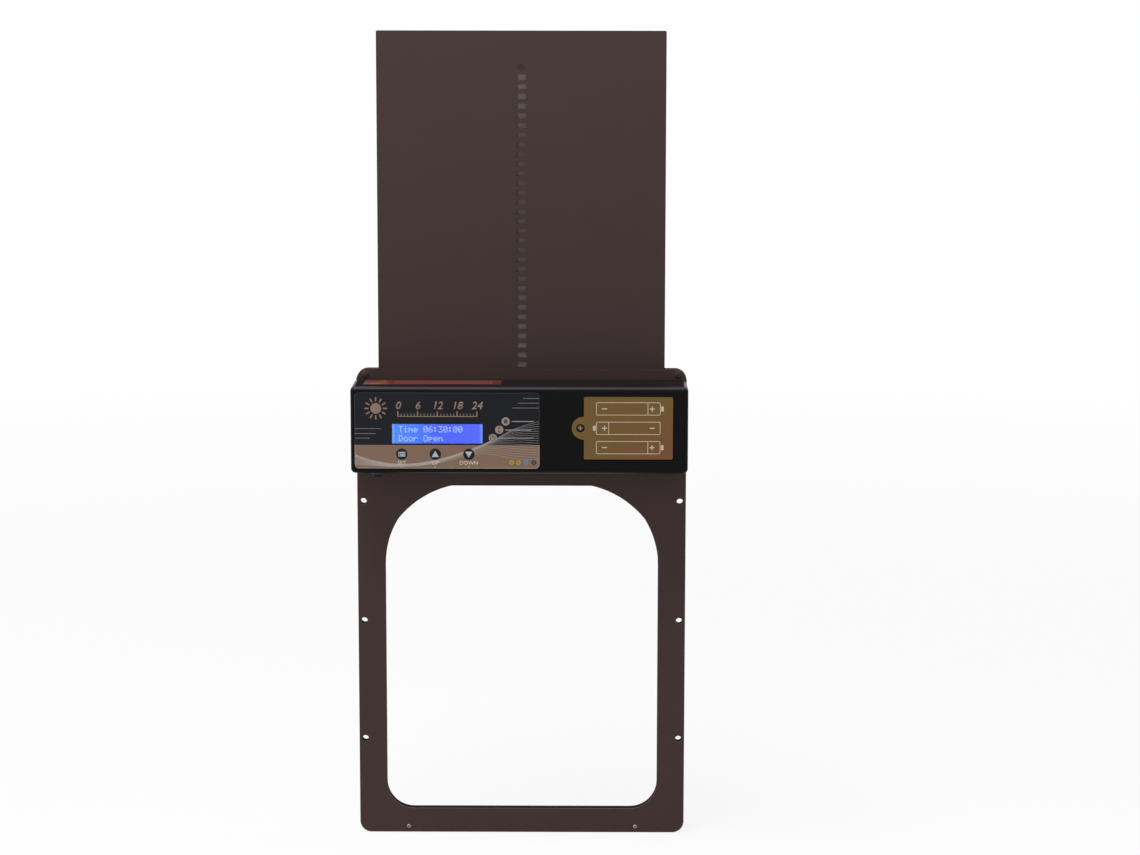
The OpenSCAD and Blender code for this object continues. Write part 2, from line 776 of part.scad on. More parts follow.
// Controller chip, buzzer, capacitors and plugs on the back of the board
module board_parts() color([0.2, 0.2, 0.22]) place() {
    back = board_y + board_t;
    mid_x = (board_x0 + board_x1) / 2;
    mid_z = (board_z0 + board_z1) / 2;
    block([mid_x - chip_w - chip_gap, back, mid_z - chip_w / 2],
          [mid_x - chip_gap, back + chip_t, mid_z + chip_w / 2]);
    rod_y(mid_x + buzzer_r, mid_z, back, buzzer_h, buzzer_r);
    for (i = [0:1])
        rod_y(board_x1 - cap_inset - cap_pitch * i, mid_z + cap_rise, back, cap_h, cap_r);
    for (i = [-1:1]) {
        z = mid_z + plug_pitch * i;
        block([board_x0 + plug_inset, back, z - plug_h / 2],
              [board_x0 + plug_inset + plug_w, back + plug_l, z + plug_h / 2]);
    }
}

module board_screws() color(steel) place() for (p = board_holes) {
    rod_y(p[0], p[1], board_y + board_t, screw_head_t, 2 * board_screw_r);
    rod_y(p[0], p[1], board_y - board_post_l + seat, board_post_l - seat + board_t + eps, board_screw_r);
}

module key_switches() color([0.25, 0.25, 0.27]) place() for (x = button_x) difference() {
    block([x - key_w / 2, board_y - key_h, button_z - key_w / 2],
          [x + key_w / 2, board_y, button_z + key_w / 2]);
    rod_y(x, button_z, board_y - key_h - eps, key_well + eps, stem_r + seat);
}

// Cap in the panel, flange behind it and stem down into the key switch
module button(i) {
    x = button_x[i];
    face_y = front_y + overlay_sink - overlay_t - button_proud;
    cap_y = face_y + cap_dome;
    flange_y = inner_y + flange_gap;
    stem_end = board_y - key_h + stem_reach;
    dome(x, button_z, cap_y, button_r, cap_dome);
    rod_y(x, button_z, cap_y - eps, flange_y - cap_y + 2 * eps, button_r);
    rod_y(x, button_z, flange_y, flange_t, flange_r);
    rod_y(x, button_z, flange_y + flange_t - eps, stem_end - flange_y - flange_t + eps, stem_r);
}

module set_button() color(black) place() button(0);

module up_button() color(black) place() button(1);

module down_button() color(black) place() button(2);

// ---------- battery bay ----------

module battery_tray() color(black) place() difference() {
    union() {
        slab(inner_y, tray_flange_t) cover_outline(rim);
        block([bay_x0 - tray_wall, inner_y, bay_z0 - tray_wall],
              [bay_x0 + bay_l + tray_wall, tray_y1 + tray_wall, bay_z0 + bay_h + tray_wall]);
        rod_y(cover_screw_x, tab_z, tray_flange_y - eps, tray_post_l, tray_post_r);
    }
    difference() {
        block([bay_x0, inner_y - eps, bay_z0], [bay_x0 + bay_l, tray_y1, bay_z0 + bay_h]);
        // Cradles that the cells lie in
        for (x = [for (share = cradle_at) bay_x0 + bay_l * share]) difference() {
            block([x - cradle_w / 2, tray_y1 - cradle_h, bay_z0],
                  [x + cradle_w / 2, tray_y1, bay_z0 + bay_h]);
            for (i = [0:cell_count - 1])
                rod_x(x - cradle_w, 2 * cradle_w, cell_y, cell_z(i), cell_d / 2 + 2 * fit);
        }
    }
    rod_y(cover_screw_x, tab_z, inner_y - eps, tray_flange_t + tray_post_l, screw_r + seat);
}

// Heights of the cell axes
function cell_z(i) = bay_z0 + bay_h / 2 + (i - 1) * cell_pitch;

// A cell that points right has its stud on the right, and every other one is turned
function points_right(i) = i % 2 == 0;

module at_cell_end(i, right) {
    translate([right ? bay_x0 + bay_l : bay_x0, cell_y, cell_z(i)])
        mirror([right ? 1 : 0, 0, 0]) children();
}

module battery_contacts() color(steel) place() for (i = [0:cell_count - 1], right = [false, true])
    at_cell_end(i, right)
        block([0, -contact_w / 2, -contact_h / 2], [contact_t, contact_w / 2, contact_h / 2]);

// Points of a conical coil that narrows from the tray's wall to the cell
function coil_point(t) =
    let (r = spring_wide + (spring_narrow - spring_wide) * t, a = 360 * spring_turns * t)
    [wire_r + t * (spring_l - 2 * wire_r - 2 * fit), r * cos(a), r * sin(a)];

module coil_spring() {
    n = spring_turns * spring_steps;
    rings = [for (k = [0:n]) let (t = k / n, p = coil_point(t), a = 360 * spring_turns * t)
        for (s = [0:spring_sides - 1]) let (b = 360 * s / spring_sides)
            p + wire_r * [sin(b), cos(b) * cos(a), cos(b) * sin(a)]];
    sides = [for (k = [0:n - 1], s = [0:spring_sides - 1])
        let (a = k * spring_sides + s, b = k * spring_sides + (s + 1) % spring_sides)
            [a, b, b + spring_sides, a + spring_sides]];
    caps = [[for (s = [spring_sides - 1:-1:0]) s],
            [for (s = [0:spring_sides - 1]) n * spring_sides + s]];
    polyhedron(points = rings, faces = concat(sides, caps), convexity = 10);
}

module battery_springs() color(steel) place() for (i = [0:cell_count - 1])
    at_cell_end(i, !points_right(i)) translate([contact_t + fit, 0, 0]) coil_spring();

module battery_cell(i) {
    foot = contact_t + spring_l;
    at_cell_end(i, !points_right(i)) {
        rod_x(foot, cell_l - stud_l, 0, 0, cell_d / 2);
        rod_x(foot, cell_l, 0, 0, stud_r);
    }
}

module battery_cell_1() color([0.2, 0.45, 0.3]) place() battery_cell(0);

module battery_cell_2() color([0.2, 0.45, 0.3]) place() battery_cell(1);

module battery_cell_3() color([0.2, 0.45, 0.3]) place() battery_cell(2);

module battery_cover() color(black) place() difference() {
    union() {
        slab(front_y, cover_t) cover_outline(0);
        // Stiffening ribs on the inside, between the cells
        for (side = [-1, 1]) block(
            [bay_x0 + cover_rib_gap, front_y + cover_t - eps,
             tab_z + side * cell_pitch / 2 - cover_rib_t / 2],
            [bay_x0 + bay_l - cover_rib_gap, front_y + cover_t + cover_rib_h,
             tab_z + side * cell_pitch / 2 + cover_rib_t / 2]);
    }
    rod_y(cover_screw_x, tab_z, front_y - eps, cover_t + 2 * eps, screw_r + fit);
    rod_y(cover_screw_x, tab_z, front_y - eps, cover_sink + eps, cover_head_r + seat);
}

module battery_label() color([0.45, 0.34, 0.2]) place() slab(front_y - label_t, label_t)
    difference() {
        cover_outline(-label_inset);
        translate([cover_screw_x, tab_z]) circle(cover_head_r + 1.5 * seat);
    }

module cover_screw() color(steel) place() difference() {
    head_y = front_y + cover_sink - 0.7;
    union() {
        dome(cover_screw_x, tab_z, head_y, cover_head_r, cover_dome);
        rod_y(cover_screw_x, tab_z, head_y - eps, front_y + cover_sink - head_y + eps, cover_head_r);
        rod_y(cover_screw_x, tab_z, front_y + cover_sink - eps, cover_screw_l, screw_r);
    }
    // Cross recess
    for (a = [0, 90]) translate([cover_screw_x, head_y - cover_dome, tab_z]) rotate([0, a, 0])
        block([-cross_l / 2, -eps, -cross_w / 2], [cross_l / 2, cross_h, cross_w / 2]);
}

// ---------- power socket ----------

module power_socket() color(black) place() translate([socket_x, -socket_y, 0]) {
    floor_z = housing_z0 + housing_wall;
    difference() {
        union() {
            translate([0, 0, housing_z0 - socket_proud])
                cylinder(r = socket_r, h = socket_proud + socket_body_w / 2);
            block([-socket_body_w / 2, -socket_body_w / 2, floor_z],
                  [socket_body_w / 2, socket_body_w / 2, floor_z + socket_body_h]);
        }
        translate([0, 0, housing_z0 - socket_proud - eps])
            cylinder(r = socket_bore_r, h = socket_bore_l + eps);
        cylinder(r = pin_tail_r + fit, h = frame_h);
    }
}

// Centre pin, with its tail through the socket's end
module power_socket_pin() color(steel) place() translate([socket_x, -socket_y, 0]) {
    pin_z = housing_z0 - socket_proud + pin_sink;
    end_z = housing_z0 - socket_proud + socket_bore_l;
    translate([0, 0, pin_z]) cylinder(r = pin_r, h = end_z - pin_z);
    translate([0, 0, end_z - eps]) cylinder(r = pin_tail_r, h = pin_tail_l);
}

module power_socket_nut() color(black) place() translate([socket_x, -socket_y, housing_z0 - nut_t])
    difference() {
        cylinder(r = nut_r, h = nut_t);
        translate([0, 0, -eps]) cylinder(r = socket_r + fit, h = nut_t + 2 * eps);
        for (a = [0:flute_turn:359])
            rotate(a) translate([nut_r, 0, -eps]) cylinder(r = flute_r, h = nut_t + 2 * eps);
    }

// ---------- gear motor ----------

// Section of the motor can, grown by g
module can_space(x, l, g) {
    along_x(x, l) translate([gear_y, gm_z]) intersection() {
        circle(gm_h / 2 + g);
        square([gm_d + 2 * g, gm_h + 2 * g], center = true);
    }
}

module motor_can() color(steel) place() difference() {
    union() {
        can_space(gm_x1, motor_l, 0);
        rod_x(gm_x1 + motor_l - eps, can_end_l, gear_y, gm_z, can_end_r);
        for (y = [-tag_y, tag_y]) block(
            [gm_x1 + motor_l - eps, gear_y + y - tag_t / 2, gm_z - tag_w / 2],
            [gm_x1 + motor_l + can_tail_l, gear_y + y + tag_t / 2, gm_z + tag_w / 2]);
    }
    rod_x(gm_x1 - eps, journal_l + seat, gear_y, gear_z, journal_r + fit);
}

module at_clamp_feet() {
    for (side = [-1, 1])
        translate([clamp_x + clamp_w / 2, 0, gm_z + side * (gm_h / 2 + clamp_t + clamp_foot / 2)])
            children();
}

// Strap over the motor, screwed to the housing's back
module motor_clamp() color([0.85, 0.85, 0.83]) place() difference() {
    half = gm_h / 2 + clamp_play;
    front = gear_y - gm_d / 2 - clamp_play;
    union() {
        block([clamp_x, front - clamp_t, gm_z - half - clamp_t],
              [clamp_x + clamp_w, -housing_back_t, gm_z + half + clamp_t]);
        block([clamp_x, -housing_back_t - clamp_t, gm_z - half - clamp_t - clamp_foot],
              [clamp_x + clamp_w, -housing_back_t, gm_z + half + clamp_t + clamp_foot]);
    }
    block([clamp_x - eps, front, gm_z - half],
          [clamp_x + clamp_w + eps, eps, gm_z + half]);
    at_clamp_feet() rod_y(0, 0, -housing_back_t - clamp_t - eps, clamp_t + 2 * eps,
                            clamp_screw_r + seat);
}

module clamp_screws() color(steel) place() at_clamp_feet() {
    rod_y(0, 0, -housing_back_t - clamp_t - screw_head_t, screw_head_t, clamp_head_r);
    rod_y(0, 0, -housing_back_t - clamp_t - eps, clamp_t + clamp_bite, clamp_screw_r);
}

// Positions of the pillars in the gearbox's corners
pillar_spots = [for (y = [-1, 1], z = [-1, 1])
    [gear_y + y * (gm_d / 2 - pillar_r - pillar_inset), gm_z + z * (gm_h / 2 - pillar_r - pillar_inset)]];

module gearbox_plates() color(brass) place() {
    for (out = [false, true]) along_x(out ? gm_x0 : gm_x1 - gearplate_t, gearplate_t) difference() {
        translate([gear_y, gm_z]) square([gm_d, gm_h], center = true);
        translate([gear_y, gear_z]) circle(out ? shaft_r + fit : journal_r + 2 * fit);
        translate([gear_y, axis_b_z]) circle(journal_r);
        for (p = pillar_spots) translate(p) circle(pillar_end_r);
    }
}

module gearbox_pillars() color(steel) place() for (p = pillar_spots) {
    rod_x(gm_x0 + gearplate_t, gearbox_l - 2 * gearplate_t, p[0], p[1], pillar_r);
    rod_x(gm_x0, gearbox_l, p[0], p[1], pillar_end_r - eps);
}

module lay_pin() color(steel) place() rod_x(gm_x0, gearbox_l, gear_y, axis_b_z, journal_r);

// Stages run from the motor, stage 1, out to the shaft, stage 4
function stage_x(i) =
    gm_x1 - gearplate_t - stage_gap - i * stage_pitch + (stage_pitch - wheel_w) / 2;

// At rest one drive tooth points straight at the panel
wheel_4_turn = 0;
pinion_3_turn = mesh_turn(wheel_4_turn, wheel_teeth, pinion_teeth, -90);
wheel_3_turn = pinion_3_turn;
pinion_2_turn = mesh_turn(wheel_3_turn, wheel_teeth, pinion_teeth, 90);
wheel_2_turn = pinion_2_turn;
pinion_1_turn = mesh_turn(wheel_2_turn, wheel_teeth, pinion_teeth, -90);
wheel_1_turn = pinion_1_turn;
motor_turn = mesh_turn(wheel_1_turn, wheel_teeth, pinion_teeth, 90);

// Wheel of stage i with the pinion that drives stage i + 1
module train_wheel(i, z, turn) {
    reach = stage_pitch - hub_gap;
    difference() {
        union() {
            train_gear(wheel_teeth, turn, stage_x(i), wheel_w, z);
            train_gear(pinion_teeth, turn, stage_x(i) - reach, reach + eps, z);
        }
        rod_x(stage_x(i) - reach - eps, reach + wheel_w + 3 * eps, gear_y, z, journal_r + fit);
    }
}

module train_wheel_1() color(brass) place() train_wheel(1, axis_b_z, wheel_1_turn);

module train_wheel_2() color(brass) place() train_wheel(2, gear_z, wheel_2_turn);

module train_wheel_3() color(brass) place() train_wheel(3, axis_b_z, wheel_3_turn);

module motor_pinion() color(brass) place() {
    train_gear(pinion_teeth, motor_turn, stage_x(1), wheel_w + hub_gap, gear_z);
    rod_x(stage_x(1), gm_x1 + journal_l - stage_x(1), gear_y, gear_z, journal_r);
}

// Last wheel, its shaft out to the bush, and the journal that carries wheel 2
module output_shaft() color(steel) place() {
    x4 = stage_x(stages);
    train_gear(wheel_teeth, wheel_4_turn, x4, wheel_w, gear_z);
    rod_x(shaft_x0, x4 + eps - shaft_x0, gear_y, gear_z, shaft_r);
    rod_x(x4, stage_x(2) + wheel_w - x4, gear_y, gear_z, journal_r);
}

module drive_gear() color([0.85, 0.85, 0.83]) place() translate([0, gear_y, gear_z]) difference() {
    union() {
        along_x(-drive_w / 2, drive_w)
            polygon(gear_points(drive_module, drive_teeth, drive_tooth_t, drive_tip, drive_root, 0));
        rod_x(drive_w / 2 - eps, hub_l, 0, 0, hub_r);
    }
    rod_x(-drive_w, 3 * drive_w, 0, 0, shaft_r + fit / 2);
}

module shaft_bush() color(brass) place() difference() {
    union() {
        rod_x(post_x1 - post_w, post_w + eps, gear_y, gear_z, bush_r);
        rod_x(post_x1, bush_flange_t, gear_y, gear_z, bush_flange_r);
    }
    rod_x(post_x1 - post_w - eps, post_w + bush_flange_t + 2 * eps, gear_y, gear_z, shaft_r + fit);
}

// ---------- limit sensors ----------

sensor_board_t = 1.2;
sensor_board_w = 14;
sensor_board_h = 22;
sensor_w = 3;
sensor_h = 4;
sensor_t = 1.6;
sensor_inset = 0.6;
sensor_x1 = post_x1 - post_w - sensor_board_t;
sensor_y = -housing_back_t - sensor_board_t;

module sensor_board() color(board_green) place() slab(sensor_y, sensor_board_t)
    translate([sensor_x1 - sensor_board_w, gear_z - sensor_board_h / 2])
        square([sensor_board_w, sensor_board_h]);

// One sensor behind each place where a magnet stops
module hall_sensors() color(black) place() for (side = [-1, 1])
    translate([sensor_x1 - sensor_inset - sensor_w, sensor_y - sensor_t,
               gear_z + side * slot_pitch - sensor_h / 2])
        cube([sensor_w, sensor_t, sensor_h]);

front_plate();
rear_plate();
left_guide_rail();
right_guide_rail();
sill_spacer();
corner_rivets();
sill_rivets();
door_panel();
slot_backing();
limit_magnets();
housing_shell();
housing_back();
housing_screws();
top_strip();
control_overlay();
display_window();
display_module();
controller_board();
board_parts();
board_screws();
key_switches();
set_button();
up_button();
down_button();
battery_tray();
battery_contacts();
battery_springs();
battery_cell_1();
battery_cell_2();
battery_cell_3();
battery_cover();
battery_label();
cover_screw();
power_socket();
power_socket_pin();
power_socket_nut();
motor_can();
motor_clamp();
clamp_screws();
gearbox_plates();
gearbox_pillars();
lay_pin();
motor_pinion();
train_wheel_1();
train_wheel_2();
train_wheel_3();
output_shaft();
drive_gear();
shaft_bush();
sensor_board();
hall_sensors();
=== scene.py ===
"""Dress the automatic coop door: finishes, prints, lit display and studio."""

import math

import bpy
from mathutils import Matrix, Vector


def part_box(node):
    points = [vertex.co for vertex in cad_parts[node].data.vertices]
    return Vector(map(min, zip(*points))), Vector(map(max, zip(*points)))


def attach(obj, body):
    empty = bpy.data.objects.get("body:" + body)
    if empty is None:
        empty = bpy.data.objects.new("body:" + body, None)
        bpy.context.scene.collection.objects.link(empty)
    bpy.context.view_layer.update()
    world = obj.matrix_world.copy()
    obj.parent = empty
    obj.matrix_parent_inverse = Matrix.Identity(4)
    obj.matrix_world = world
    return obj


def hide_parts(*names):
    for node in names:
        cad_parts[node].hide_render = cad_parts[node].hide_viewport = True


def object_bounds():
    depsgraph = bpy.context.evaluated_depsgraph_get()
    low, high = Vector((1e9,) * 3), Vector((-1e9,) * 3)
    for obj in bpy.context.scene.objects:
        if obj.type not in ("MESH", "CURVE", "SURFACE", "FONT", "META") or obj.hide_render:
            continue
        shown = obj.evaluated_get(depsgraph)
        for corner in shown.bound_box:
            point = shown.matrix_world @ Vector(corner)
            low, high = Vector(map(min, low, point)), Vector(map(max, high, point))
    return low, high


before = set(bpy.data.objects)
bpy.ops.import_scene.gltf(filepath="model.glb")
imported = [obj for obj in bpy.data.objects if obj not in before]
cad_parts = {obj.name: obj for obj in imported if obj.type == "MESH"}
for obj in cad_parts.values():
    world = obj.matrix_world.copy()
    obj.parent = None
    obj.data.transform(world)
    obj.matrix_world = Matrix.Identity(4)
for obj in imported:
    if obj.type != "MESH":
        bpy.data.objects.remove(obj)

bl_info = {
    "name": "Automatic coop door",
    "version": (1, 0, 0),
    "blender": (4, 5, 0),
    "location": "3D View > Sidebar > Coop door",
    "description": "Finishes, prints and studio for a sliding coop door",
    "category": "Object",
}

MM = 0.001
CAD_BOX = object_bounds()
FACING = Matrix.Rotation(math.pi / 2, 4, "X")  # turns flat artwork to face the room
FILM = 0.03  # how far ink stands proud of its surface, in millimetres
SUNK = 0.02  # how far ink reaches below its surface, in millimetres
LAYER = 0.002  # each shape of a print lies this much above the one before, in millimetres
KEYS = ("set", "up", "down")
# Radius of a key cap, and the clearance that the overlay's lines leave round it (mm)
KEY_RADIUS, KEY_GAP = 3.85, 0.2
INK_JOIN = 16.9  # where the overlay's two inks meet, above its lower edge (mm)


def linear(code):
    """Turn an sRGB hex colour into the linear values that Blender's sockets take."""
    parts = [int(code[i : i + 2], 16) / 255 for i in (1, 3, 5)]
    return (*[c / 12.92 if c <= 0.04045 else ((c + 0.055) / 1.055) ** 2.4 for c in parts], 1.0)


# ---------- what a user would change ----------


def ink(name, description, code):
    """A colour that a user may change."""
    return bpy.props.FloatVectorProperty(
        name=name, description=description, subtype="COLOR", size=4, default=linear(code)
    )


def length(name, description, value_mm, low=0.01, high=10.0):
    """A length that a user may change, between low and high millimetres."""
    return bpy.props.FloatProperty(
        name=name,
        description=description,
        unit="LENGTH",
        default=value_mm * MM,
        min=low * MM,
        max=high * MM,
    )


class CoopDoorSizes(bpy.types.PropertyGroup):
    """Sizes of edges and prints"""

    plate_edge: length("Plate edge", "Rounding of the coated plates' edges", 0.4)
    panel_edge: length("Panel edge", "Rounding of the sliding panel's edges", 0.3)
    shell_edge: length("Shell edge", "Rounding of the housing's openings", 0.25)
    hairline: length("Hairline", "Width of the fine printed lines", 0.28)
    dot_gap: length("Dot gap", "Gap round each dot of the display", 0.03, 0.01, 0.2)
    sill_drop: length("Sill drop", "How far the doorway's lower edge is let down", 2.0, 0.01, 3.0)


class CoopDoorColours(bpy.types.PropertyGroup):
    """Colours of coats, mouldings and inks"""

    coat: ink("Frame coat", "Powder coat of the two plates", "#3F302F")
    panel: ink("Panel coat", "Powder coat of the sliding panel", "#3C2F2E")
    shell: ink("Housing", "Moulded housing and battery cover", "#0B0A0C")
    # Painted highlight on the housing's rounded upper edges, in place of the lamp's sheen
    rubbed: ink("Painted edge highlight", "Rounded upper edges of the housing, with a painted highlight", "#38373C")
    midnight: ink("Midnight ink", "Upper field of the control overlay", "#181920")
    tan: ink("Tan ink", "Lower field of the control overlay", "#7E6656")
    bronze: ink("Bronze ink", "Scale, sun and badges", "#8A7264")
    gold: ink("Label gold", "Battery label, upper left", "#6E542C")
    copper: ink("Label copper", "Battery label, lower right", "#73492F")
    glow_left: ink("Backlight left", "Display glow at its left end", "#2486F8")
    glow_right: ink("Backlight right", "Display glow at its right end", "#3054FA")


# ---------- node helpers ----------


def add(tree, kind, sockets=None, **settings):
    """Add a node with its settings; sockets maps an input to a value or to what feeds it."""
    node = tree.nodes.new(kind)
    for name, value in settings.items():
        setattr(node, name, value)
    for key, value in (sockets or {}).items():
        if isinstance(value, bpy.types.NodeSocket):
            tree.links.new(value, node.inputs[key])
        else:
            node.inputs[key].default_value = value
    return node


def blank(name):
    """A material without nodes, and its tree."""
    material = bpy.data.materials.new(name)
    material.use_nodes = True
    material.node_tree.nodes.clear()
    return material, material.node_tree


def surface(tree, shader):
    """Make a shader the material's surface."""
    add(tree, "ShaderNodeOutputMaterial", {"Surface": shader.outputs[0]})


def math_of(tree, kind, first, second):
    """Combine two values."""
    node = add(tree, "ShaderNodeMath", {0: first, 1: second}, operation=kind)
    return node.outputs["Value"]


def place_of(tree, scale=(1, 1, 1)):
    """Object coordinates, with some axes squeezed or left out."""
    spot = add(tree, "ShaderNodeTexCoord").outputs["Object"]
    return add(tree, "ShaderNodeMapping", {"Vector": spot, "Scale": scale}).outputs["Vector"]


def grain(tree, size_mm, detail=2.0, scale=(1, 1, 1)):
    """Noise whose spots are about size_mm across."""
    where = place_of(tree, scale)
    sockets = {"Vector": where, "Scale": 1 / (size_mm * MM * 2), "Detail": detail}
    return add(tree, "ShaderNodeTexNoise", sockets).outputs["Fac"]


def between(tree, value, low, high, start=0.0, end=1.0):
    """Stretch a value from start and end to low and high."""
    sockets = {"Value": value, "From Min": start, "From Max": end, "To Min": low, "To Max": high}
    return add(tree, "ShaderNodeMapRange", sockets).outputs["Result"]


def along(tree, axis, start, end):
    """0 at start and 1 at end along one Object axis, in metres."""
    axes = add(tree, "ShaderNodeSeparateXYZ", {"Vector": place_of(tree)})
    return between(tree, axes.outputs[axis], 0, 1, start, end)


def blend(tree, fac, first, second):
    """Mix two colours; each is a linear colour or a socket."""
    sockets = {"Factor": fac, "A": first, "B": second}
    return add(tree, "ShaderNodeMix", sockets, data_type="RGBA").outputs["Result"]


def bands(tree, fac, tones, smooth=True):
    """Colour ramp through (place, colour) pairs."""
    node = add(tree, "ShaderNodeValToRGB", {"Fac": fac})
    ramp = node.color_ramp
    ramp.interpolation = "LINEAR" if smooth else "CONSTANT"
    ramp.elements[0].position, ramp.elements[0].color = tones[0][0], linear(tones[0][1])
    ramp.elements[1].position, ramp.elements[1].color = tones[-1][0], linear(tones[-1][1])
    for spot, code in tones[1:-1]:
        ramp.elements.new(spot).color = linear(code)
    return node.outputs["Color"]


def relief(tree, height, depth_mm, strength=0.5):
    """Bump of a given depth."""
    sockets = {"Height": height, "Strength": strength, "Distance": depth_mm * MM}
    return add(tree, "ShaderNodeBump", sockets).outputs["Normal"]


def scaled(colour, share):
    """A colour made darker or paler."""
    return (*[c * share for c in colour[:3]], 1.0)


# ---------- finishes ----------


def coated(name, tone, painted_top_light=0.0):
    """Satin polyester powder coat: soft broad highlights and a fine orange peel."""
    material, tree = blank(name)
    cloud = grain(tree, 11.0, 3.0)
    fleck = grain(tree, 0.7)
    colour = blend(tree, cloud, scaled(tone, 0.93), scaled(tone, 1.07))
    colour = blend(tree, between(tree, fleck, 0, 0.35), colour, scaled(tone, 1.3))
    if painted_top_light:
        # Painted light: the upper end is made paler, for the light that falls more strongly there
        rise = along(tree, "Z", CAD_BOX[1][2] - 0.22, CAD_BOX[1][2])
        colour = blend(tree, math_of(tree, "MULTIPLY", rise, painted_top_light), colour, scaled(tone, 2.0))
    sockets = {
        "Base Color": colour,
        "Roughness": between(tree, cloud, 0.42, 0.56),
        "Specular IOR Level": 0.12,
        "Normal": relief(tree, fleck, 0.02),
    }
    surface(tree, add(tree, "ShaderNodeBsdfPrincipled", sockets))
    return material


def facing_up(tree):
    """Upward part of the surface's normal: 1 on flat tops, 0 on walls."""
    normal = add(tree, "ShaderNodeNewGeometry").outputs["Normal"]
    return add(tree, "ShaderNodeSeparateXYZ", {"Vector": normal}).outputs["Z"]


def upper_edges(tree, up):
    """1 where a rounded edge looks mostly up, and 0 on flat tops, walls and undersides."""
    rise = between(tree, up, 0, 1, 0.35, 0.7)
    fall = between(tree, up, 0, 1, 0.99, 0.86)
    return math_of(tree, "MULTIPLY", rise, fall)


def moulded(name, tone, spark_mm, gloss=0.1, rough=(0.42, 0.58), spread=0.15, rubbed=None):
    """Injection-moulded plastic: spark-eroded grain, faint flow marks, perhaps painted light on
    upper edges and tops.

    spark_mm is the grain's size, and rough the least and the greatest roughness.
    """
    material, tree = blank(name)
    spark = grain(tree, spark_mm)
    flow = grain(tree, 16.0)
    colour = blend(tree, flow, scaled(tone, 1 - spread), scaled(tone, 1 + spread))
    sockets = {
        "Base Color": colour,
        "Roughness": between(tree, spark, *rough),
        "Specular IOR Level": gloss,
        "Normal": relief(tree, spark, 0.015),
    }
    if rubbed is not None:
        # Painted light: rounded upper edges take a pale band for the lamp's sheen, and flat tops a
        # paler tone; flat tops are also rough and without specular
        up = facing_up(tree)
        flat = between(tree, up, 0, 1, 0.97, 1.0)
        edged = blend(tree, upper_edges(tree, up), colour, rubbed)
        sockets["Base Color"] = blend(tree, flat, edged, linear("#231F20"))
        dull = math_of(tree, "MULTIPLY", flat, 0.75)
        sockets["Roughness"] = math_of(tree, "MAXIMUM", sockets["Roughness"], dull)
        sockets["Specular IOR Level"] = between(tree, flat, gloss, 0.0)
    surface(tree, add(tree, "ShaderNodeBsdfPrincipled", sockets))
    return material


def bare_metal(name, code, rough, mark_mm=0.12):
    """Bare or plated metal: sharp highlights broken by fine marks along X."""
    material, tree = blank(name)
    tone = linear(code)
    marks = grain(tree, mark_mm, scale=(0.08, 1, 1))
    sockets = {
        "Base Color": blend(tree, marks, scaled(tone, 0.88), tone),
        "Metallic": 1.0,
        "Roughness": between(tree, marks, *rough),
        "Normal": relief(tree, marks, 0.01, 0.2),
    }
    surface(tree, add(tree, "ShaderNodeBsdfPrincipled", sockets))
    return material


def black_screw(node):
    """Black-zinc pan screw with a painted glint in its driven recess."""
    low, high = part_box(node)
    recess = 1.6 * MM
    material, tree = blank("black-zinc pan screw")
    centre = ((low[0] + high[0]) / 2, 0, (low[2] + high[2]) / 2)
    sockets = {0: place_of(tree, (1, 0, 1)), 1: centre}
    off = add(tree, "ShaderNodeVectorMath", sockets, operation="DISTANCE").outputs["Value"]
    inside = math_of(tree, "LESS_THAN", off, recess)
    # Painted glint from 0.15 mm below the head's crown downwards
    deep = along(tree, "Y", low[1] + 0.15 * MM, low[1] + 0.4 * MM)
    painted_glint = math_of(tree, "MULTIPLY", inside, deep)
    marks = grain(tree, 0.3)
    sockets = {
        "Base Color": blend(tree, painted_glint, linear("#2E2A28"), linear("#A09C96")),
        "Metallic": 1.0,
        "Roughness": between(tree, marks, 0.16, 0.3),
        "Normal": relief(tree, marks, 0.01, 0.2),
    }
    surface(tree, add(tree, "ShaderNodeBsdfPrincipled", sockets))
    return material


def screen_ink(name, tone, rough=0.42):
    """Screen-printed ink: matt, with a slightly uneven film."""
    material, tree = blank(name)
    film = grain(tree, 0.9)
    sockets = {
        "Base Color": blend(tree, film, scaled(tone, 0.93), tone),
        "Roughness": between(tree, film, rough - 0.05, rough + 0.05),
        "Specular IOR Level": 0.15,
    }
    surface(tree, add(tree, "ShaderNodeBsdfPrincipled", sockets))
    return material


def overlay_film(colours):
    """Second-surface print under hard-coated polycarbonate: two fields, satin sheen."""
    low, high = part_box("control_overlay")
    material, tree = blank("printed polycarbonate film")
    film = grain(tree, 1.4)
    height = along(tree, "Z", low[2], high[2])
    upper = math_of(tree, "GREATER_THAN", height, INK_JOIN * MM / (high[2] - low[2]))
    tan = blend(tree, film, scaled(colours.tan, 0.96), scaled(colours.tan, 1.06))
    across = along(tree, "X", low[0], high[0])
    dusk = blend(tree, across, colours.midnight, scaled(colours.midnight, 0.8))
    sockets = {
        "Base Color": blend(tree, upper, tan, dusk),
        "Roughness": between(tree, film, 0.34, 0.44),
        "Specular IOR Level": 0.12,
    }
    surface(tree, add(tree, "ShaderNodeBsdfPrincipled", sockets))
    return material


def cut_rim():
    """Cut edge of the film, as a painted highlight: a pale line for the light it catches, and paler
    beside the tan ink.
    """
    low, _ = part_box("control_overlay")
    material, tree = blank("cut rim of polycarbonate film")
    lower = along(tree, "Z", low[2] + (INK_JOIN + 0.6) * MM, low[2] + (INK_JOIN - 0.4) * MM)
    sockets = {
        "Base Color": blend(tree, lower, linear("#34343C"), linear("#B4A79E")),
        "Roughness": between(tree, grain(tree, 1.0), 0.2, 0.35),
        "Specular IOR Level": 0.3,
    }
    surface(tree, add(tree, "ShaderNodeBsdfPrincipled", sockets))
    return material


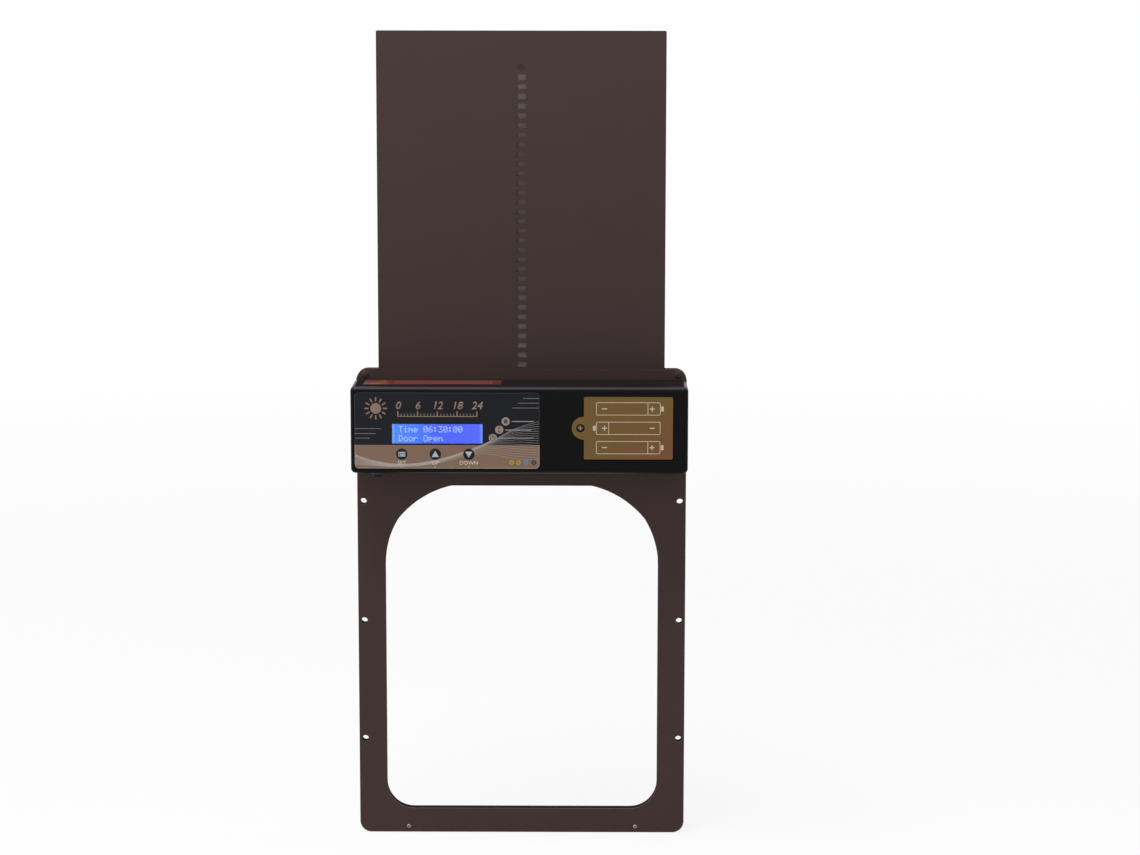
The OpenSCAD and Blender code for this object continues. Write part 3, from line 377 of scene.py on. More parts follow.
def lit_glass(colours):
    """Liquid crystal glass over a blue backlight that leaks at both its ends."""
    low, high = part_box("display_window")
    material, tree = blank("liquid crystal glass, blue backlight")
    across = along(tree, "X", low[0], high[0])
    middle = linear("#0654F8")
    colour = blend(tree, between(tree, across, 0, 1, 0.05, 0.5), colours.glow_left, middle)
    colour = blend(tree, between(tree, across, 0, 1, 0.45, 0.9), colour, colours.glow_right)
    near = along(tree, "X", low[0] + 2.5 * MM, low[0])
    far = along(tree, "X", high[0] - 2.5 * MM, high[0])
    leak = math_of(tree, "MULTIPLY", math_of(tree, "MAXIMUM", near, far), 0.5)
    colour = blend(tree, leak, colour, linear("#8CC0FF"))
    mottle = grain(tree, 6.0)
    colour = blend(tree, between(tree, mottle, 0, 0.12), colour, linear("#1438E0"))
    sockets = {
        "Base Color": linear("#0A1028"),
        "Roughness": 0.2,
        "Specular IOR Level": 0.1,
        "Emission Color": colour,
        "Emission Strength": 1.0,
    }
    surface(tree, add(tree, "ShaderNodeBsdfPrincipled", sockets))
    return material


def lit_dots():
    """Open liquid crystal dots: the backlight shows through them pale."""
    material, tree = blank("liquid crystal dots, open")
    sheen = grain(tree, 3.0)
    sockets = {
        "Base Color": linear("#202A50"),
        "Roughness": 0.3,
        "Emission Color": blend(tree, sheen, linear("#A8C2FF"), linear("#BCD0FF")),
        "Emission Strength": 1.0,
    }
    surface(tree, add(tree, "ShaderNodeBsdfPrincipled", sockets))
    return material


def clear_acrylic():
    """Cast acrylic: clear, with a faint polish haze."""
    material, tree = blank("clear cast acrylic")
    sockets = {
        "Base Color": linear("#F4F7FF"),
        "Roughness": between(tree, grain(tree, 2.5), 0.0, 0.03),
        "IOR": 1.49,
        "Transmission Weight": 1.0,
    }
    surface(tree, add(tree, "ShaderNodeBsdfPrincipled", sockets))
    return material


def foil_label(colours):
    """Ink over metallised foil: olive gold that warms to copper at the lower right."""
    low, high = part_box("battery_label")
    material, tree = blank("printed metallised foil label")
    across = along(tree, "X", low[0] + 20 * MM, high[0])
    down = along(tree, "Z", high[2] - 8 * MM, low[2])
    film = grain(tree, 0.8)
    gold = blend(tree, film, scaled(colours.gold, 0.94), colours.gold)
    sockets = {
        "Base Color": blend(tree, math_of(tree, "MULTIPLY", across, down), gold, colours.copper),
        "Roughness": between(tree, film, 0.38, 0.5),
        "Metallic": 0.15,
        "Specular IOR Level": 0.2,
    }
    surface(tree, add(tree, "ShaderNodeBsdfPrincipled", sockets))
    return material


def slot_strip():
    """Matt polyester strip behind the drive slots: its greys are painted shade, paler near both
    ends.
    """
    low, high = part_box("slot_backing")
    material, tree = blank("matt polyester strip, painted shade")
    # Painted light and shade, from its lower end to its upper end
    tones = (
        (0.0, "#8C807C"),
        (0.19, "#887C78"),
        (0.27, "#7D716C"),
        (0.34, "#756A66"),
        (0.46, "#695D5A"),
        (0.8, "#6C605D"),
        (0.89, "#7F7571"),
        (1.0, "#8B827E"),
    )
    film = grain(tree, 1.5)
    painted_light_ramp = bands(tree, along(tree, "Z", low[2], high[2]), tones)
    sockets = {
        "Base Color": blend(tree, between(tree, film, 0, 0.15), painted_light_ramp, linear("#4A4440")),
        "Roughness": between(tree, film, 0.6, 0.75),
        "Specular IOR Level": 0.1,
    }
    surface(tree, add(tree, "ShaderNodeBsdfPrincipled", sockets))
    return material


def red_vinyl():
    """Gloss vinyl strip: brick red, with an orange hill near its left end."""
    low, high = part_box("top_strip")
    material, tree = blank("printed gloss vinyl, brick red")
    spots = grain(tree, 4.0, scale=(1, 2.5, 1))
    # The hill stands between 4 and 19 mm from the left end, and its outline is speckled
    rise = along(tree, "X", low[0] + 4 * MM, low[0] + 14 * MM)
    fall = along(tree, "X", low[0] + 19 * MM, low[0] + 14 * MM)
    slope = math_of(tree, "MINIMUM", rise, fall)
    hill = math_of(tree, "MULTIPLY", slope, between(tree, spots, 0.8, 1.3))
    patch = math_of(tree, "GREATER_THAN", hill, along(tree, "Y", low[1], high[1] + 4 * MM))
    film = grain(tree, 2.0)
    red = blend(tree, film, linear("#572723"), linear("#64302B"))
    sockets = {
        "Base Color": blend(tree, patch, red, linear("#74402A")),
        "Roughness": between(tree, film, 0.3, 0.4),
        "Specular IOR Level": 0.2,
    }
    surface(tree, add(tree, "ShaderNodeBsdfPrincipled", sockets))
    return material


def cell_sleeve(node, stud_right):
    """Shrink sleeve: green body, copper band and bare steel at both ends."""
    low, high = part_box(node)
    material, tree = blank("shrink sleeve, " + node.replace("_", " "))
    ends = (high[0], low[0]) if stud_right else (low[0], high[0])
    tones = ((0.0, "#C9C9C4"), (0.03, "#B07A3A"), (0.24, "#1F3A2C"), (0.992, "#C9C9C4"))
    sockets = {
        "Base Color": bands(tree, along(tree, "X", *ends), tones, smooth=False),
        "Roughness": between(tree, grain(tree, 3.0), 0.22, 0.32),
    }
    surface(tree, add(tree, "ShaderNodeBsdfPrincipled", sockets))
    return material


def solder_mask():
    """Glass-epoxy board: green mask, with copper lanes that show paler."""
    material, tree = blank("glass-epoxy board, green mask")
    sockets = {"Vector": place_of(tree, (1, 0, 1)), "Scale": 1 / (3.2 * MM)}
    settings = {"distance": "CHEBYCHEV", "feature": "DISTANCE_TO_EDGE"}
    edges = add(tree, "ShaderNodeTexVoronoi", sockets, **settings).outputs["Distance"]
    lane = math_of(tree, "LESS_THAN", edges, 0.07)
    sockets = {
        "Base Color": blend(tree, lane, linear("#0E4A2C"), linear("#1C6A40")),
        "Roughness": 0.3,
    }
    surface(tree, add(tree, "ShaderNodeBsdfPrincipled", sockets))
    return material


def dress(material, *nodes):
    """Put one finish on some of the frame's nodes."""
    for node in nodes:
        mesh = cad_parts[node].data
        mesh.materials.clear()
        mesh.materials.append(material)


class COOP_OT_coats(bpy.types.Operator):
    """Powder coat the plates, the rivets and the sliding panel"""

    bl_idname = "coop.coats"
    bl_label = "Powder coats"

    def execute(self, context):
        colours = context.scene.coop_colours
        dress(
            coated("satin powder coat, umber", colours.coat),
            "front_plate",
            "rear_plate",
            "corner_rivets",
        )
        # The sliding panel gets painted light towards its upper end
        panel = coated("satin powder coat, umber panel", colours.panel, painted_top_light=0.2)
        dress(panel, "door_panel")
        dress(slot_strip(), "slot_backing")
        # Epoxy-dipped magnets: dull and nearly as dark as the coat round them
        dress(moulded("epoxy-dipped magnet", linear("#3A2F2D"), 0.6), "limit_magnets")
        return {"FINISHED"}


class COOP_OT_mouldings(bpy.types.Operator):
    """Finish the moulded and extruded plastics"""

    bl_idname = "coop.mouldings"
    bl_label = "Plastics"

    def execute(self, context):
        shell = context.scene.coop_colours.shell
        # Satin, with a painted highlight along the rounded upper edge and a paler painted tone on
        # the flat top
        rubbed = context.scene.coop_colours.rubbed
        dress(
            moulded("spark-textured ABS, black", shell, 0.45, 0.07, (0.3, 0.38), rubbed=rubbed),
            "housing_shell",
            "battery_cover",
        )
        dress(
            moulded("moulded ABS, black", linear("#17161A"), 0.8),
            "housing_back",
            "battery_tray",
            "power_socket",
        )
        # Smoother than the shell, so its flutes catch small highlights
        dress(
            moulded("turned nylon, black", linear("#141316"), 1.0, 0.5, (0.2, 0.3)),
            "power_socket_nut",
        )
        dress(
            moulded("extruded nylon, black", linear("#18171A"), 1.2, 0.02, (0.7, 0.85)),
            "left_guide_rail",
            "right_guide_rail",
            "sill_spacer",
        )
        dress(
            moulded("satin ABS key cap", linear("#101012"), 0.3, 0.2, (0.3, 0.4)),
            *(key + "_button" for key in KEYS),
        )
        # Natural acetal: waxy off-white
        dress(
            moulded("moulded acetal, natural", linear("#DCDAD2"), 1.5, 0.4, (0.3, 0.42), 0.03),
            "motor_clamp",
            "drive_gear",
        )
        dress(
            moulded("epoxy moulding compound", linear("#1E1E20"), 0.3, 0.2, (0.5, 0.65)),
            "board_parts",
            "key_switches",
            "hall_sensors",
        )
        dress(solder_mask(), "controller_board", "sensor_board")
        return {"FINISHED"}


class COOP_OT_metals(bpy.types.Operator):
    """Finish the screws, pins, contacts and gears"""

    bl_idname = "coop.metals"
    bl_label = "Metals"

    def execute(self, context):
        dress(bare_metal("nickel-plated hollow rivet", "#9A958E", (0.3, 0.42)), "sill_rivets")
        dress(
            bare_metal("zinc-plated steel screw", "#B4B6BA", (0.25, 0.4)),
            "housing_screws",
            "board_screws",
            "clamp_screws",
        )
        dress(black_screw("cover_screw"), "cover_screw")
        dress(
            bare_metal("nickel-plated spring steel", "#C8C6C0", (0.15, 0.3)),
            "battery_contacts",
            "battery_springs",
            "power_socket_pin",
        )
        dress(
            bare_metal("nickel-plated drawn steel", "#BDBBB6", (0.18, 0.34)),
            "motor_can",
            "gearbox_pillars",
            "lay_pin",
            "output_shaft",
        )
        dress(
            bare_metal("machined brass", "#C9A25A", (0.2, 0.36)),
            "gearbox_plates",
            "motor_pinion",
            *(f"train_wheel_{number}" for number in (1, 2, 3)),
        )
        # Pressed from powder, so it is dull and slightly porous
        dress(bare_metal("sintered bronze", "#9A7442", (0.45, 0.6), 0.3), "shaft_bush")
        return {"FINISHED"}


class COOP_OT_films(bpy.types.Operator):
    """Finish the overlay, the display, the labels and the cells"""

    bl_idname = "coop.films"
    bl_label = "Films and labels"

    def execute(self, context):
        colours = context.scene.coop_colours
        dress(overlay_film(colours), "control_overlay")
        dress(lit_glass(colours), "display_module")
        dress(clear_acrylic(), "display_window")
        dress(foil_label(colours), "battery_label")
        dress(red_vinyl(), "top_strip")
        # The middle cell lies the other way round
        for number in (1, 2, 3):
            node = f"battery_cell_{number}"
            dress(cell_sleeve(node, number != 2), node)
        looks = {name: obj.active_material for name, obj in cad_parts.items()}
        bare = [name for name, look in looks.items() if not (look and look.use_nodes)]
        if bare:
            raise RuntimeError(f"nodes without a finish: {bare}")
        return {"FINISHED"}


# ---------- modelling helpers ----------


def only(obj):
    """Leave obj alone selected and active."""
    bpy.ops.object.select_all(action="DESELECT")
    obj.select_set(True)
    bpy.context.view_layer.objects.active = obj
    return obj


def open_mesh(obj, select=None):
    """Enter edit mode on obj alone, and select or deselect all of it if told to."""
    only(obj)
    bpy.ops.object.mode_set(mode="EDIT")
    if select:
        bpy.ops.mesh.select_all(action=select)


def close_mesh():
    """Leave edit mode."""
    bpy.ops.object.mode_set(mode="OBJECT")


def settle(obj):
    """Move an object's place, turn and size into its mesh."""
    only(obj)
    bpy.ops.object.transform_apply(location=True, rotation=True, scale=True)
    return obj


def apply(obj, kind, **settings):
    """Add a modifier with its settings and apply it."""
    only(obj)
    modifier = obj.modifiers.new(kind.lower(), kind)
    for name, value in settings.items():
        setattr(modifier, name, value)
    bpy.ops.object.modifier_apply(modifier=modifier.name)
    return obj


def repeat(obj, count, step):
    """Repeat a shape count times, one step apart."""
    return apply(
        obj,
        "ARRAY",
        count=count,
        use_relative_offset=False,
        use_constant_offset=True,
        constant_offset_displace=step,
    )


def piece(obj, name, body, material=None):
    """Name a finished piece and tie it to its body, slot and material."""
    obj.name = obj.data.name = name
    if material:
        obj.data.materials.clear()
        obj.data.materials.append(material)
    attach(obj, body)
    return obj


def eased_copy(node, name, edge, body, angle=35, reshape=None):
    """Copy a node, merge its loose triangles, reshape it and round its sharp edges."""
    only(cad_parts[node])
    bpy.ops.object.duplicate()
    copy = bpy.context.object
    copy.parent = None
    # The copy is a new piece, so it drops what marks the node as a part of the frame
    for key in [k for k in copy.keys() if k.startswith("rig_")]:
        del copy[key]
    open_mesh(copy, "SELECT")
    bpy.ops.mesh.remove_doubles(threshold=1e-6)
    bpy.ops.mesh.customdata_custom_splitnormals_clear()
    bpy.ops.mesh.dissolve_limited(angle_limit=math.radians(0.5))
    bpy.ops.mesh.faces_shade_smooth()
    close_mesh()
    if reshape:
        reshape(copy)
    apply(
        copy,
        "BEVEL",
        width=edge,
        segments=2,
        limit_method="ANGLE",
        angle_limit=math.radians(angle),
        use_clamp_overlap=True,
    )
    apply(copy, "WEIGHTED_NORMAL", weight=100, keep_sharp=True)
    piece(copy, name, body)
    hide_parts(node)
    return copy


class Artwork:
    """Flat artwork on a node: u right and v up from its lower left corner, in millimetres."""

    def __init__(self, node, proud=FILM, planes=30):
        low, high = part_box(node)
        self.planes = planes
        self.x, self.z = low[0], low[2]
        self.front = low[1] - proud * MM
        self.width, self.height = (high[0] - low[0]) / MM, (high[2] - low[2]) / MM
        self.parts = []

    def spot(self, u, v):
        """Where a shape goes: a LAYER above the one before, and after some planes back again."""
        lift = LAYER * MM * (len(self.parts) % self.planes)
        return Vector((self.x + u * MM, self.front - lift, self.z + v * MM))

    def keep(self, obj, u, v, turn=0.0, size=(1, 1, 1)):
        """Stand a flat shape up at its spot, turned clockwise by turn degrees."""
        spin = Matrix.Rotation(math.radians(turn), 4, "Y")
        obj.matrix_world = (
            Matrix.Translation(self.spot(u, v)) @ spin @ FACING @ Matrix.Diagonal((*size, 1))
        )
        self.parts.append(settle(obj))
        return obj

    def disc(self, u, v, r, sides=40):
        """Round spot."""
        bpy.ops.mesh.primitive_circle_add(vertices=sides, radius=r * MM, fill_type="NGON")
        return self.keep(bpy.context.object, u, v)

    def ring(self, u, v, r, width):
        """Round rim of outer radius r."""
        return hollow(self.disc(u, v, r), width)

    def bar(self, u, v, w, h, turn=0.0):
        """Plain rectangle."""
        bpy.ops.mesh.primitive_plane_add(size=1)
        return self.keep(bpy.context.object, u, v, turn, (w * MM, h * MM, 1))

    def line(self, start, end, v, thick):
        """Level line from one u to another."""
        return self.bar((start + end) / 2, v, end - start, thick)

    def slab(self, u, v, w, h, r):
        """Rectangle with rounded corners."""
        obj = self.bar(u, v, w, h)
        return apply(obj, "BEVEL", affect="VERTICES", width=r * MM, segments=5)

    def triangle(self, u, v, r, turn=0.0):
        """Triangle that points up, with its corners r from its middle."""
        bpy.ops.mesh.primitive_circle_add(vertices=3, radius=r * MM, fill_type="NGON")
        return self.keep(bpy.context.object, u, v, turn)

    def words(self, text, u, v, height, slant=0.0, bold=0.0):
        """Plain letters: height is that of capitals, and bold thickens them all round."""
        bpy.ops.object.text_add()
        obj = bpy.context.object
        obj.data.body = text
        obj.data.size = height * MM / 0.7  # capitals are 0.7 of the size
        obj.data.align_x = "CENTER"
        obj.data.align_y = "CENTER"
        obj.data.shear = slant
        obj.data.offset = bold * MM
        obj.data.resolution_u = 3
        only(obj)
        bpy.ops.object.convert(target="MESH")
        return self.keep(bpy.context.object, u, v)

    def sweep(self, points, width):
        """Smooth ribbon through points."""
        bpy.ops.curve.primitive_bezier_curve_add()
        obj = bpy.context.object
        obj.matrix_world = Matrix()
        knots = obj.data.splines[0].bezier_points
        knots.add(len(points) - 2)
        for knot, (u, v) in zip(knots, points):
            knot.co = Vector((u * MM, v * MM, 0))
            knot.handle_left_type = knot.handle_right_type = "AUTO"
        obj.data.dimensions = "2D"
        obj.data.fill_mode = "NONE"
        obj.data.resolution_u = 10
        only(obj)
        bpy.ops.object.convert(target="MESH")
        obj = bpy.context.object
        open_mesh(obj, "SELECT")
        bpy.ops.mesh.extrude_edges_move(TRANSFORM_OT_translate={"value": (0, width * MM, 0)})
        bpy.ops.mesh.select_all(action="SELECT")
        bpy.ops.mesh.normals_make_consistent(inside=False)
        close_mesh()
        # A flat ribbon has no inside, so it may come out face down
        if obj.data.polygons[0].normal.z < 0:
            open_mesh(obj, "SELECT")
            bpy.ops.mesh.flip_normals()
            close_mesh()
        return self.keep(obj, 0, 0)

    def row(self, obj, count, du, dv=0.0):
        """Repeat a shape count times, du and dv apart."""
        return repeat(obj, count, (du * MM, 0, dv * MM))

    def print(self, name, body, material, film_mm=FILM + SUNK, around=()):
        """Give the shapes their film, cut them clear of some keys and join them."""
        punches = [punch(key) for key in around]
        for part in self.parts:
            apply(part, "SOLIDIFY", thickness=film_mm * MM, offset=-1)
            for tool in punches:
                apply(part, "BOOLEAN", operation="DIFFERENCE", solver="EXACT", object=tool)
        for tool in punches:
            bpy.data.objects.remove(tool)
        bpy.ops.object.select_all(action="DESELECT")
        for part in self.parts:
            part.select_set(True)
        bpy.context.view_layer.objects.active = self.parts[0]
        if len(self.parts) > 1:
            bpy.ops.object.join()
        sheet, self.parts = self.parts[0], []
        return piece(sheet, name, body, material)

    def on_overlay(self, name, material, around=()):
        """Print the shapes as part of the control overlay."""
        return self.print(name, "frame", material, around=around)


def hollow(obj, width):
    """Leave only a rim of the given width of a flat shape."""
    open_mesh(obj, "SELECT")
    bpy.ops.mesh.inset(thickness=width * MM)
    bpy.ops.mesh.delete(type="FACE")
    close_mesh()
    return obj


def punch(key):
    """Cylinder along Y that cuts a print clear of a key cap."""
    low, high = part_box(key + "_button")
    radius = (KEY_RADIUS + KEY_GAP) * MM
    middle = ((low[0] + high[0]) / 2, low[1], (low[2] + high[2]) / 2)
    bpy.ops.mesh.primitive_cylinder_add(vertices=64, radius=radius, depth=4 * MM)
    tool = bpy.context.object
    tool.matrix_world = Matrix.Translation(middle) @ FACING
    return settle(tool)


# ---------- pieces ----------


def lower_sill(plate):
    """Let the doorway's lower edge and its two round corners down."""
    low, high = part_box("front_plate")
    # The sides and the sill are 20 mm wide, and the two corners' radius is 20 mm
    reach = (high[0] - low[0]) / 2 - 19.5 * MM
    start, end = low[2] + 19.5 * MM, low[2] + 40.5 * MM
    open_mesh(plate, "DESELECT")
    bpy.ops.mesh.select_mode(type="VERT")
    close_mesh()
    for vertex in plate.data.vertices:
        vertex.select = abs(vertex.co.x) < reach and start < vertex.co.z < end
    open_mesh(plate)
    bpy.ops.transform.translate(value=(0, 0, -bpy.context.scene.coop_sizes.sill_drop))
    close_mesh()


class COOP_OT_sheets(bpy.types.Operator):
    """Round the edges of the coated plates and of the sliding panel"""

    bl_idname = "coop.sheets"
    bl_label = "Plates and panel"

    def execute(self, context):
        sizes = context.scene.coop_sizes
        for side in ("front_plate", "rear_plate"):
            name = side + "_coated"
            eased_copy(side, name, sizes.plate_edge, "frame", reshape=lower_sill)
        eased_copy("door_panel", "door_panel_coated", sizes.panel_edge, "door")
        return {"FINISHED"}


class COOP_OT_housing(bpy.types.Operator):
    """Soften the moulded edges of the housing and of the battery cover"""

    bl_idname = "coop.housing"
    bl_label = "Housing"

    def execute(self, context):
        edge = context.scene.coop_sizes.shell_edge
        eased_copy("housing_shell", "housing_shell_moulded", edge, "frame", 50)
        eased_copy("battery_cover", "battery_cover_moulded", edge, "cover", 50)
        return {"FINISHED"}


# Centre of the lowest badge on the overlay, and the step to the next one (mm)
BADGE, BADGE_STEP = (98.8, 22.1), (4.6, 6.0)


class COOP_OT_control_print(bpy.types.Operator):
    """Print the sun, the hour scale, the badges and the captions on the overlay"""

    bl_idname = "coop.control_print"
    bl_label = "Control print"

    def execute(self, context):
        colours = context.scene.coop_colours
        fine = context.scene.coop_sizes.hairline / MM
        art = Artwork("control_overlay")
        # Sun: a disc with twelve rays
        u, v, reach = 15.2, 43.3, 6.6
        art.disc(u, v, 3.9)
        for turn in range(0, 360, 30):
            a = math.radians(turn)
            art.bar(u + reach * math.cos(a), v + reach * math.sin(a), 3.0, 1.0, -turn)
        # Hour scale: a tick for each hour, a taller one every six, and plain numbers
        zero, base, hour = 31, 37.6, 2.35
        art.line(zero - 0.3, zero + 24 * hour + 0.3, base, 0.6)
        art.row(art.bar(zero, base + 1.1, 0.5, 2.0), 25, hour)
        art.row(art.bar(zero, base + 1.9, 0.9, 3.6), 5, 6 * hour)
        for clock in range(0, 25, 6):
            art.words(str(clock), zero + clock * hour, base + 7.6, 5.4, slant=0.22, bold=0.14)
        art.on_overlay("control_scale_print", screen_ink("screen ink, bronze", colours.bronze))
        # Three round badges that climb to the right
        (u, v), (du, dv) = BADGE, BADGE_STEP
        art.row(art.disc(u, v, 2.95), 3, du, dv)
        pale = screen_ink("screen ink, pale bronze", linear("#988880"))
        art.on_overlay("badge_print", pale)
        # Dark symbols on the badges: a clock, a double arrow and a shield
        art = Artwork("control_overlay", 2 * FILM)
        art.ring(u, v, 1.9, 0.4)
        art.bar(u, v + 0.7, 0.4, 1.4)
        art.bar(u + 0.6, v, 1.2, 0.4)
        art.triangle(u + du, v + dv + 1.3, 1.2)
        art.triangle(u + du, v + dv - 1.3, 1.2, 180)
        art.slab(u + 2 * du, v + 2 * dv, 2.6, 3.0, 0.9)
        art.on_overlay("badge_symbol_print", screen_ink("screen ink, umber", linear("#54463F")))
        # Lines to the right edge, to the left edge, and beside each badge
        art = Artwork("control_overlay")
        for start, v in ((120.4, 50.7), (116.6, 47.3), (112.6, 43.8)):
            art.line(start, art.width - 0.4, v, fine)
        for end, v in ((18.9, 28.7), (15.0, 25.1), (10.9, 21.8)):
            art.line(0.3, end, v, fine)
        for start, end, v in ((112.4, 127.9, 34.1), (107.5, 126.1, 27.9), (102.9, 128.1, 22.1)):
            art.line(start, end, v, 0.7)
        grey = screen_ink("screen ink, silver grey", linear("#8E8A8C"))
        art.on_overlay("control_line_print", grey)
        # A caption and a dot under each key
        for u, word in ((33.6, "SET"), (57.6, "UP"), (81.6, "DOWN")):
            art.words(word, u, 3.9, 2.8)
            art.disc(u, 1.2, 0.38, 16)
        white = screen_ink("screen ink, white", linear("#CFC8C4"))
        art.on_overlay("control_caption_print", white)
        return {"FINISHED"}


# Route of the strands: u, v, and the share of a strand's lift that it takes there
STRAND = (
    (0.4, 9.4, 0.8),
    (7, 6.9, 0.9),
    (16, 4.6, 1),
    (34, 2.6, 1),
    (57, 5.4, 0.9),
    (76, 10.9, 0.6),
    (90, 16.2, 0.3),
    (98.8, 20.2, 0),
)
# Route of the contour lines up to the overlay's rim: u, v of the highest one, how far the
# lowest one drops below it, and the power that spaces the lines between them
CONTOUR = (
    (0.4, 9.0, 7.2, 1),
    (10.5, 6.1, 4.6, 1),
    (34, 2.7, 1.7, 1),
    (57, 5.4, 2.6, 2),
    (76, 10.9, 3.8, 3),
    (84, 13.5, 4.8, 3),
    (97, 19.2, 12.4, 3),
    (115, 28.9, 25.3, 1.4),
)


class COOP_OT_sweep_print(bpy.types.Operator):
    """Print the sweeping lines, the coloured spots and the overlay's rim"""

    bl_idname = "coop.sweep_print"
    bl_label = "Sweeps and rim"

    def execute(self, context):
        fine = context.scene.coop_sizes.hairline / MM
        pearl = screen_ink("screen ink, pearl", linear("#A79C98"))
        # Strands that cross the tan field and climb to the lowest badge
        art = Artwork("control_overlay", FILM / 2)
        for lift, thick in ((0, 0.6), (-0.7, 0.3), (-1.3, 0.25)):
            art.sweep([(u, v + lift * share) for u, v, share in STRAND], thick)
        art.on_overlay("sweep_print", pearl, KEYS)
        # Fine contour lines beneath the strands: close together on the left, a fan on the right
        art = Artwork("control_overlay", FILM / 4, 4)
        knots = (*CONTOUR, (art.width - 0.5, 34, 31, 1))
        lines = 17
        for k in range(lines):
            share = 0.9 * k / (lines - 1)
            art.sweep([(u, v - drop * share**power) for u, v, drop, power in knots], fine * 0.6)
        art.on_overlay("contour_print", pearl, KEYS)
        # Coloured spots in a row
        spots = (
            (112.2, "#B89A20", "ochre"),
            (117.1, "#A8922C", "olive"),
            (122.6, "#4C8CC4", "sky"),
            (128.1, "#2A2626", "soot"),
        )
        for u, code, name in spots:
            art = Artwork("control_overlay")
            art.ring(u, 4.4, 1.7, 0.75)
            art.disc(u, 4.4, 0.45, 20)
            art.on_overlay("spot_print_" + name, screen_ink("screen ink, " + name, linear(code)))
        # Rim all round, a painted highlight, with the film's own rounded corners
        art = Artwork("control_overlay", FILM / 2)
        wide, tall = art.width, art.height
        hollow(art.slab(wide / 2, tall / 2, wide - 0.02, tall - 0.02, 3.0), 0.3)
        art.on_overlay("overlay_rim", cut_rim())
        return {"FINISHED"}


class COOP_OT_keys(bpy.types.Operator):
    """Print a glyph on each of the three key caps"""

    bl_idname = "coop.keys"
    bl_label = "Key glyphs"

    def execute(self, context):
        pale = screen_ink("pad-printed ink, light grey", linear("#B3B7C1"))
        step = 1.25
        for key in KEYS:
            art = Artwork(key + "_button", FILM / 3)
            mid = art.width / 2
            if key == "set":
                # A list: three lines, each after its dot
                art.row(art.bar(mid + 0.6, mid - step, 3.9, 0.85), 3, 0, step)
                art.row(art.bar(mid - 2.1, mid - step, 0.8, 0.85), 3, 0, step)
            elif key == "up":
                art.triangle(mid, mid - 0.5, 2.95)
            else:
                art.triangle(mid, mid + 0.5, 2.95, 180)
            art.print(key + "_glyph", key + "_key", pale, 0.2)
        return {"FINISHED"}


# Dots of each sign, five across and seven down, as rows of bits from the top
DOTS = {
    "0": (14, 17, 19, 21, 25, 17, 14),
    "3": (31, 2, 4, 2, 1, 17, 14),
    "6": (6, 8, 16, 30, 17, 17, 14),
    ":": (0, 12, 12, 0, 12, 12, 0),
    "D": (28, 18, 17, 17, 17, 18, 28),
    "O": (14, 17, 17, 17, 17, 17, 14),
    "T": (31, 4, 4, 4, 4, 4, 4),
    "e": (0, 0, 14, 17, 31, 16, 14),
    "i": (4, 0, 12, 4, 4, 4, 14),
    "m": (0, 0, 26, 21, 21, 17, 17),
    "n": (0, 0, 22, 25, 17, 17, 17),
    "o": (0, 0, 14, 17, 17, 17, 14),
    "p": (0, 0, 30, 17, 30, 16, 16),
    "r": (0, 0, 22, 25, 16, 16, 16),
    " ": (0,) * 7,
}
SHOWN = ("Time 06:30:00", "Door Open")
SIGN_STEP, LINE_STEP = 6, 10  # dots from one sign to the next, and from line to line


class COOP_OT_display(bpy.types.Operator):
    """Light the dots of the display's two lines"""

    bl_idname = "coop.display"
    bl_label = "Display"

    def execute(self, context):
        low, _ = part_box("display_window")
        glass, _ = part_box("display_module")
        columns, rows = SIGN_STEP * len(SHOWN[0]), LINE_STEP + 7
        # Signs are 3.55 mm apart, and dots 0.65 mm apart from top to bottom
        pitch_x, pitch_z = 3.55 * MM / SIGN_STEP, 0.65 * MM
        left, top = low[0] + 4.6 * MM, low[2] + 12.3 * MM
        bpy.ops.mesh.primitive_grid_add(x_subdivisions=columns, y_subdivisions=rows, size=1)
        grid = bpy.context.object
        wide, tall = columns * pitch_x, rows * pitch_z
        middle = (left + wide / 2, glass[1] - FILM * MM, top - tall / 2)
        size = Matrix.Diagonal((wide, tall, 1, 1))
        grid.matrix_world = Matrix.Translation(middle) @ FACING @ size
        settle(grid)
        lit = {
            (SIGN_STEP * spot + 4 - bit, LINE_STEP * line + row)
            for line, text in enumerate(SHOWN)
            for spot, sign in enumerate(text)
            for row, bits in enumerate(DOTS[sign])
            for bit in range(5)
            if bits >> bit & 1
        }
        open_mesh(grid, "DESELECT")
        bpy.ops.mesh.select_mode(type="FACE")
        close_mesh()
        for face in grid.data.polygons:
            column = int((face.center[0] - left) / pitch_x)
            row = int((top - face.center[2]) / pitch_z)
            face.select = (column, row) not in lit
        open_mesh(grid)
        bpy.ops.mesh.delete(type="FACE")
        # Each dot shrinks by the gap, and what was round it goes
        bpy.ops.mesh.select_all(action="SELECT")
        bpy.ops.mesh.inset(thickness=context.scene.coop_sizes.dot_gap, use_individual=True)
        bpy.ops.mesh.select_all(action="INVERT")
        bpy.ops.mesh.delete(type="FACE")
        close_mesh()
        apply(grid, "SOLIDIFY", thickness=0.02 * MM, offset=-1)
        piece(grid, "display_dots", "frame", lit_dots())
        return {"FINISHED"}


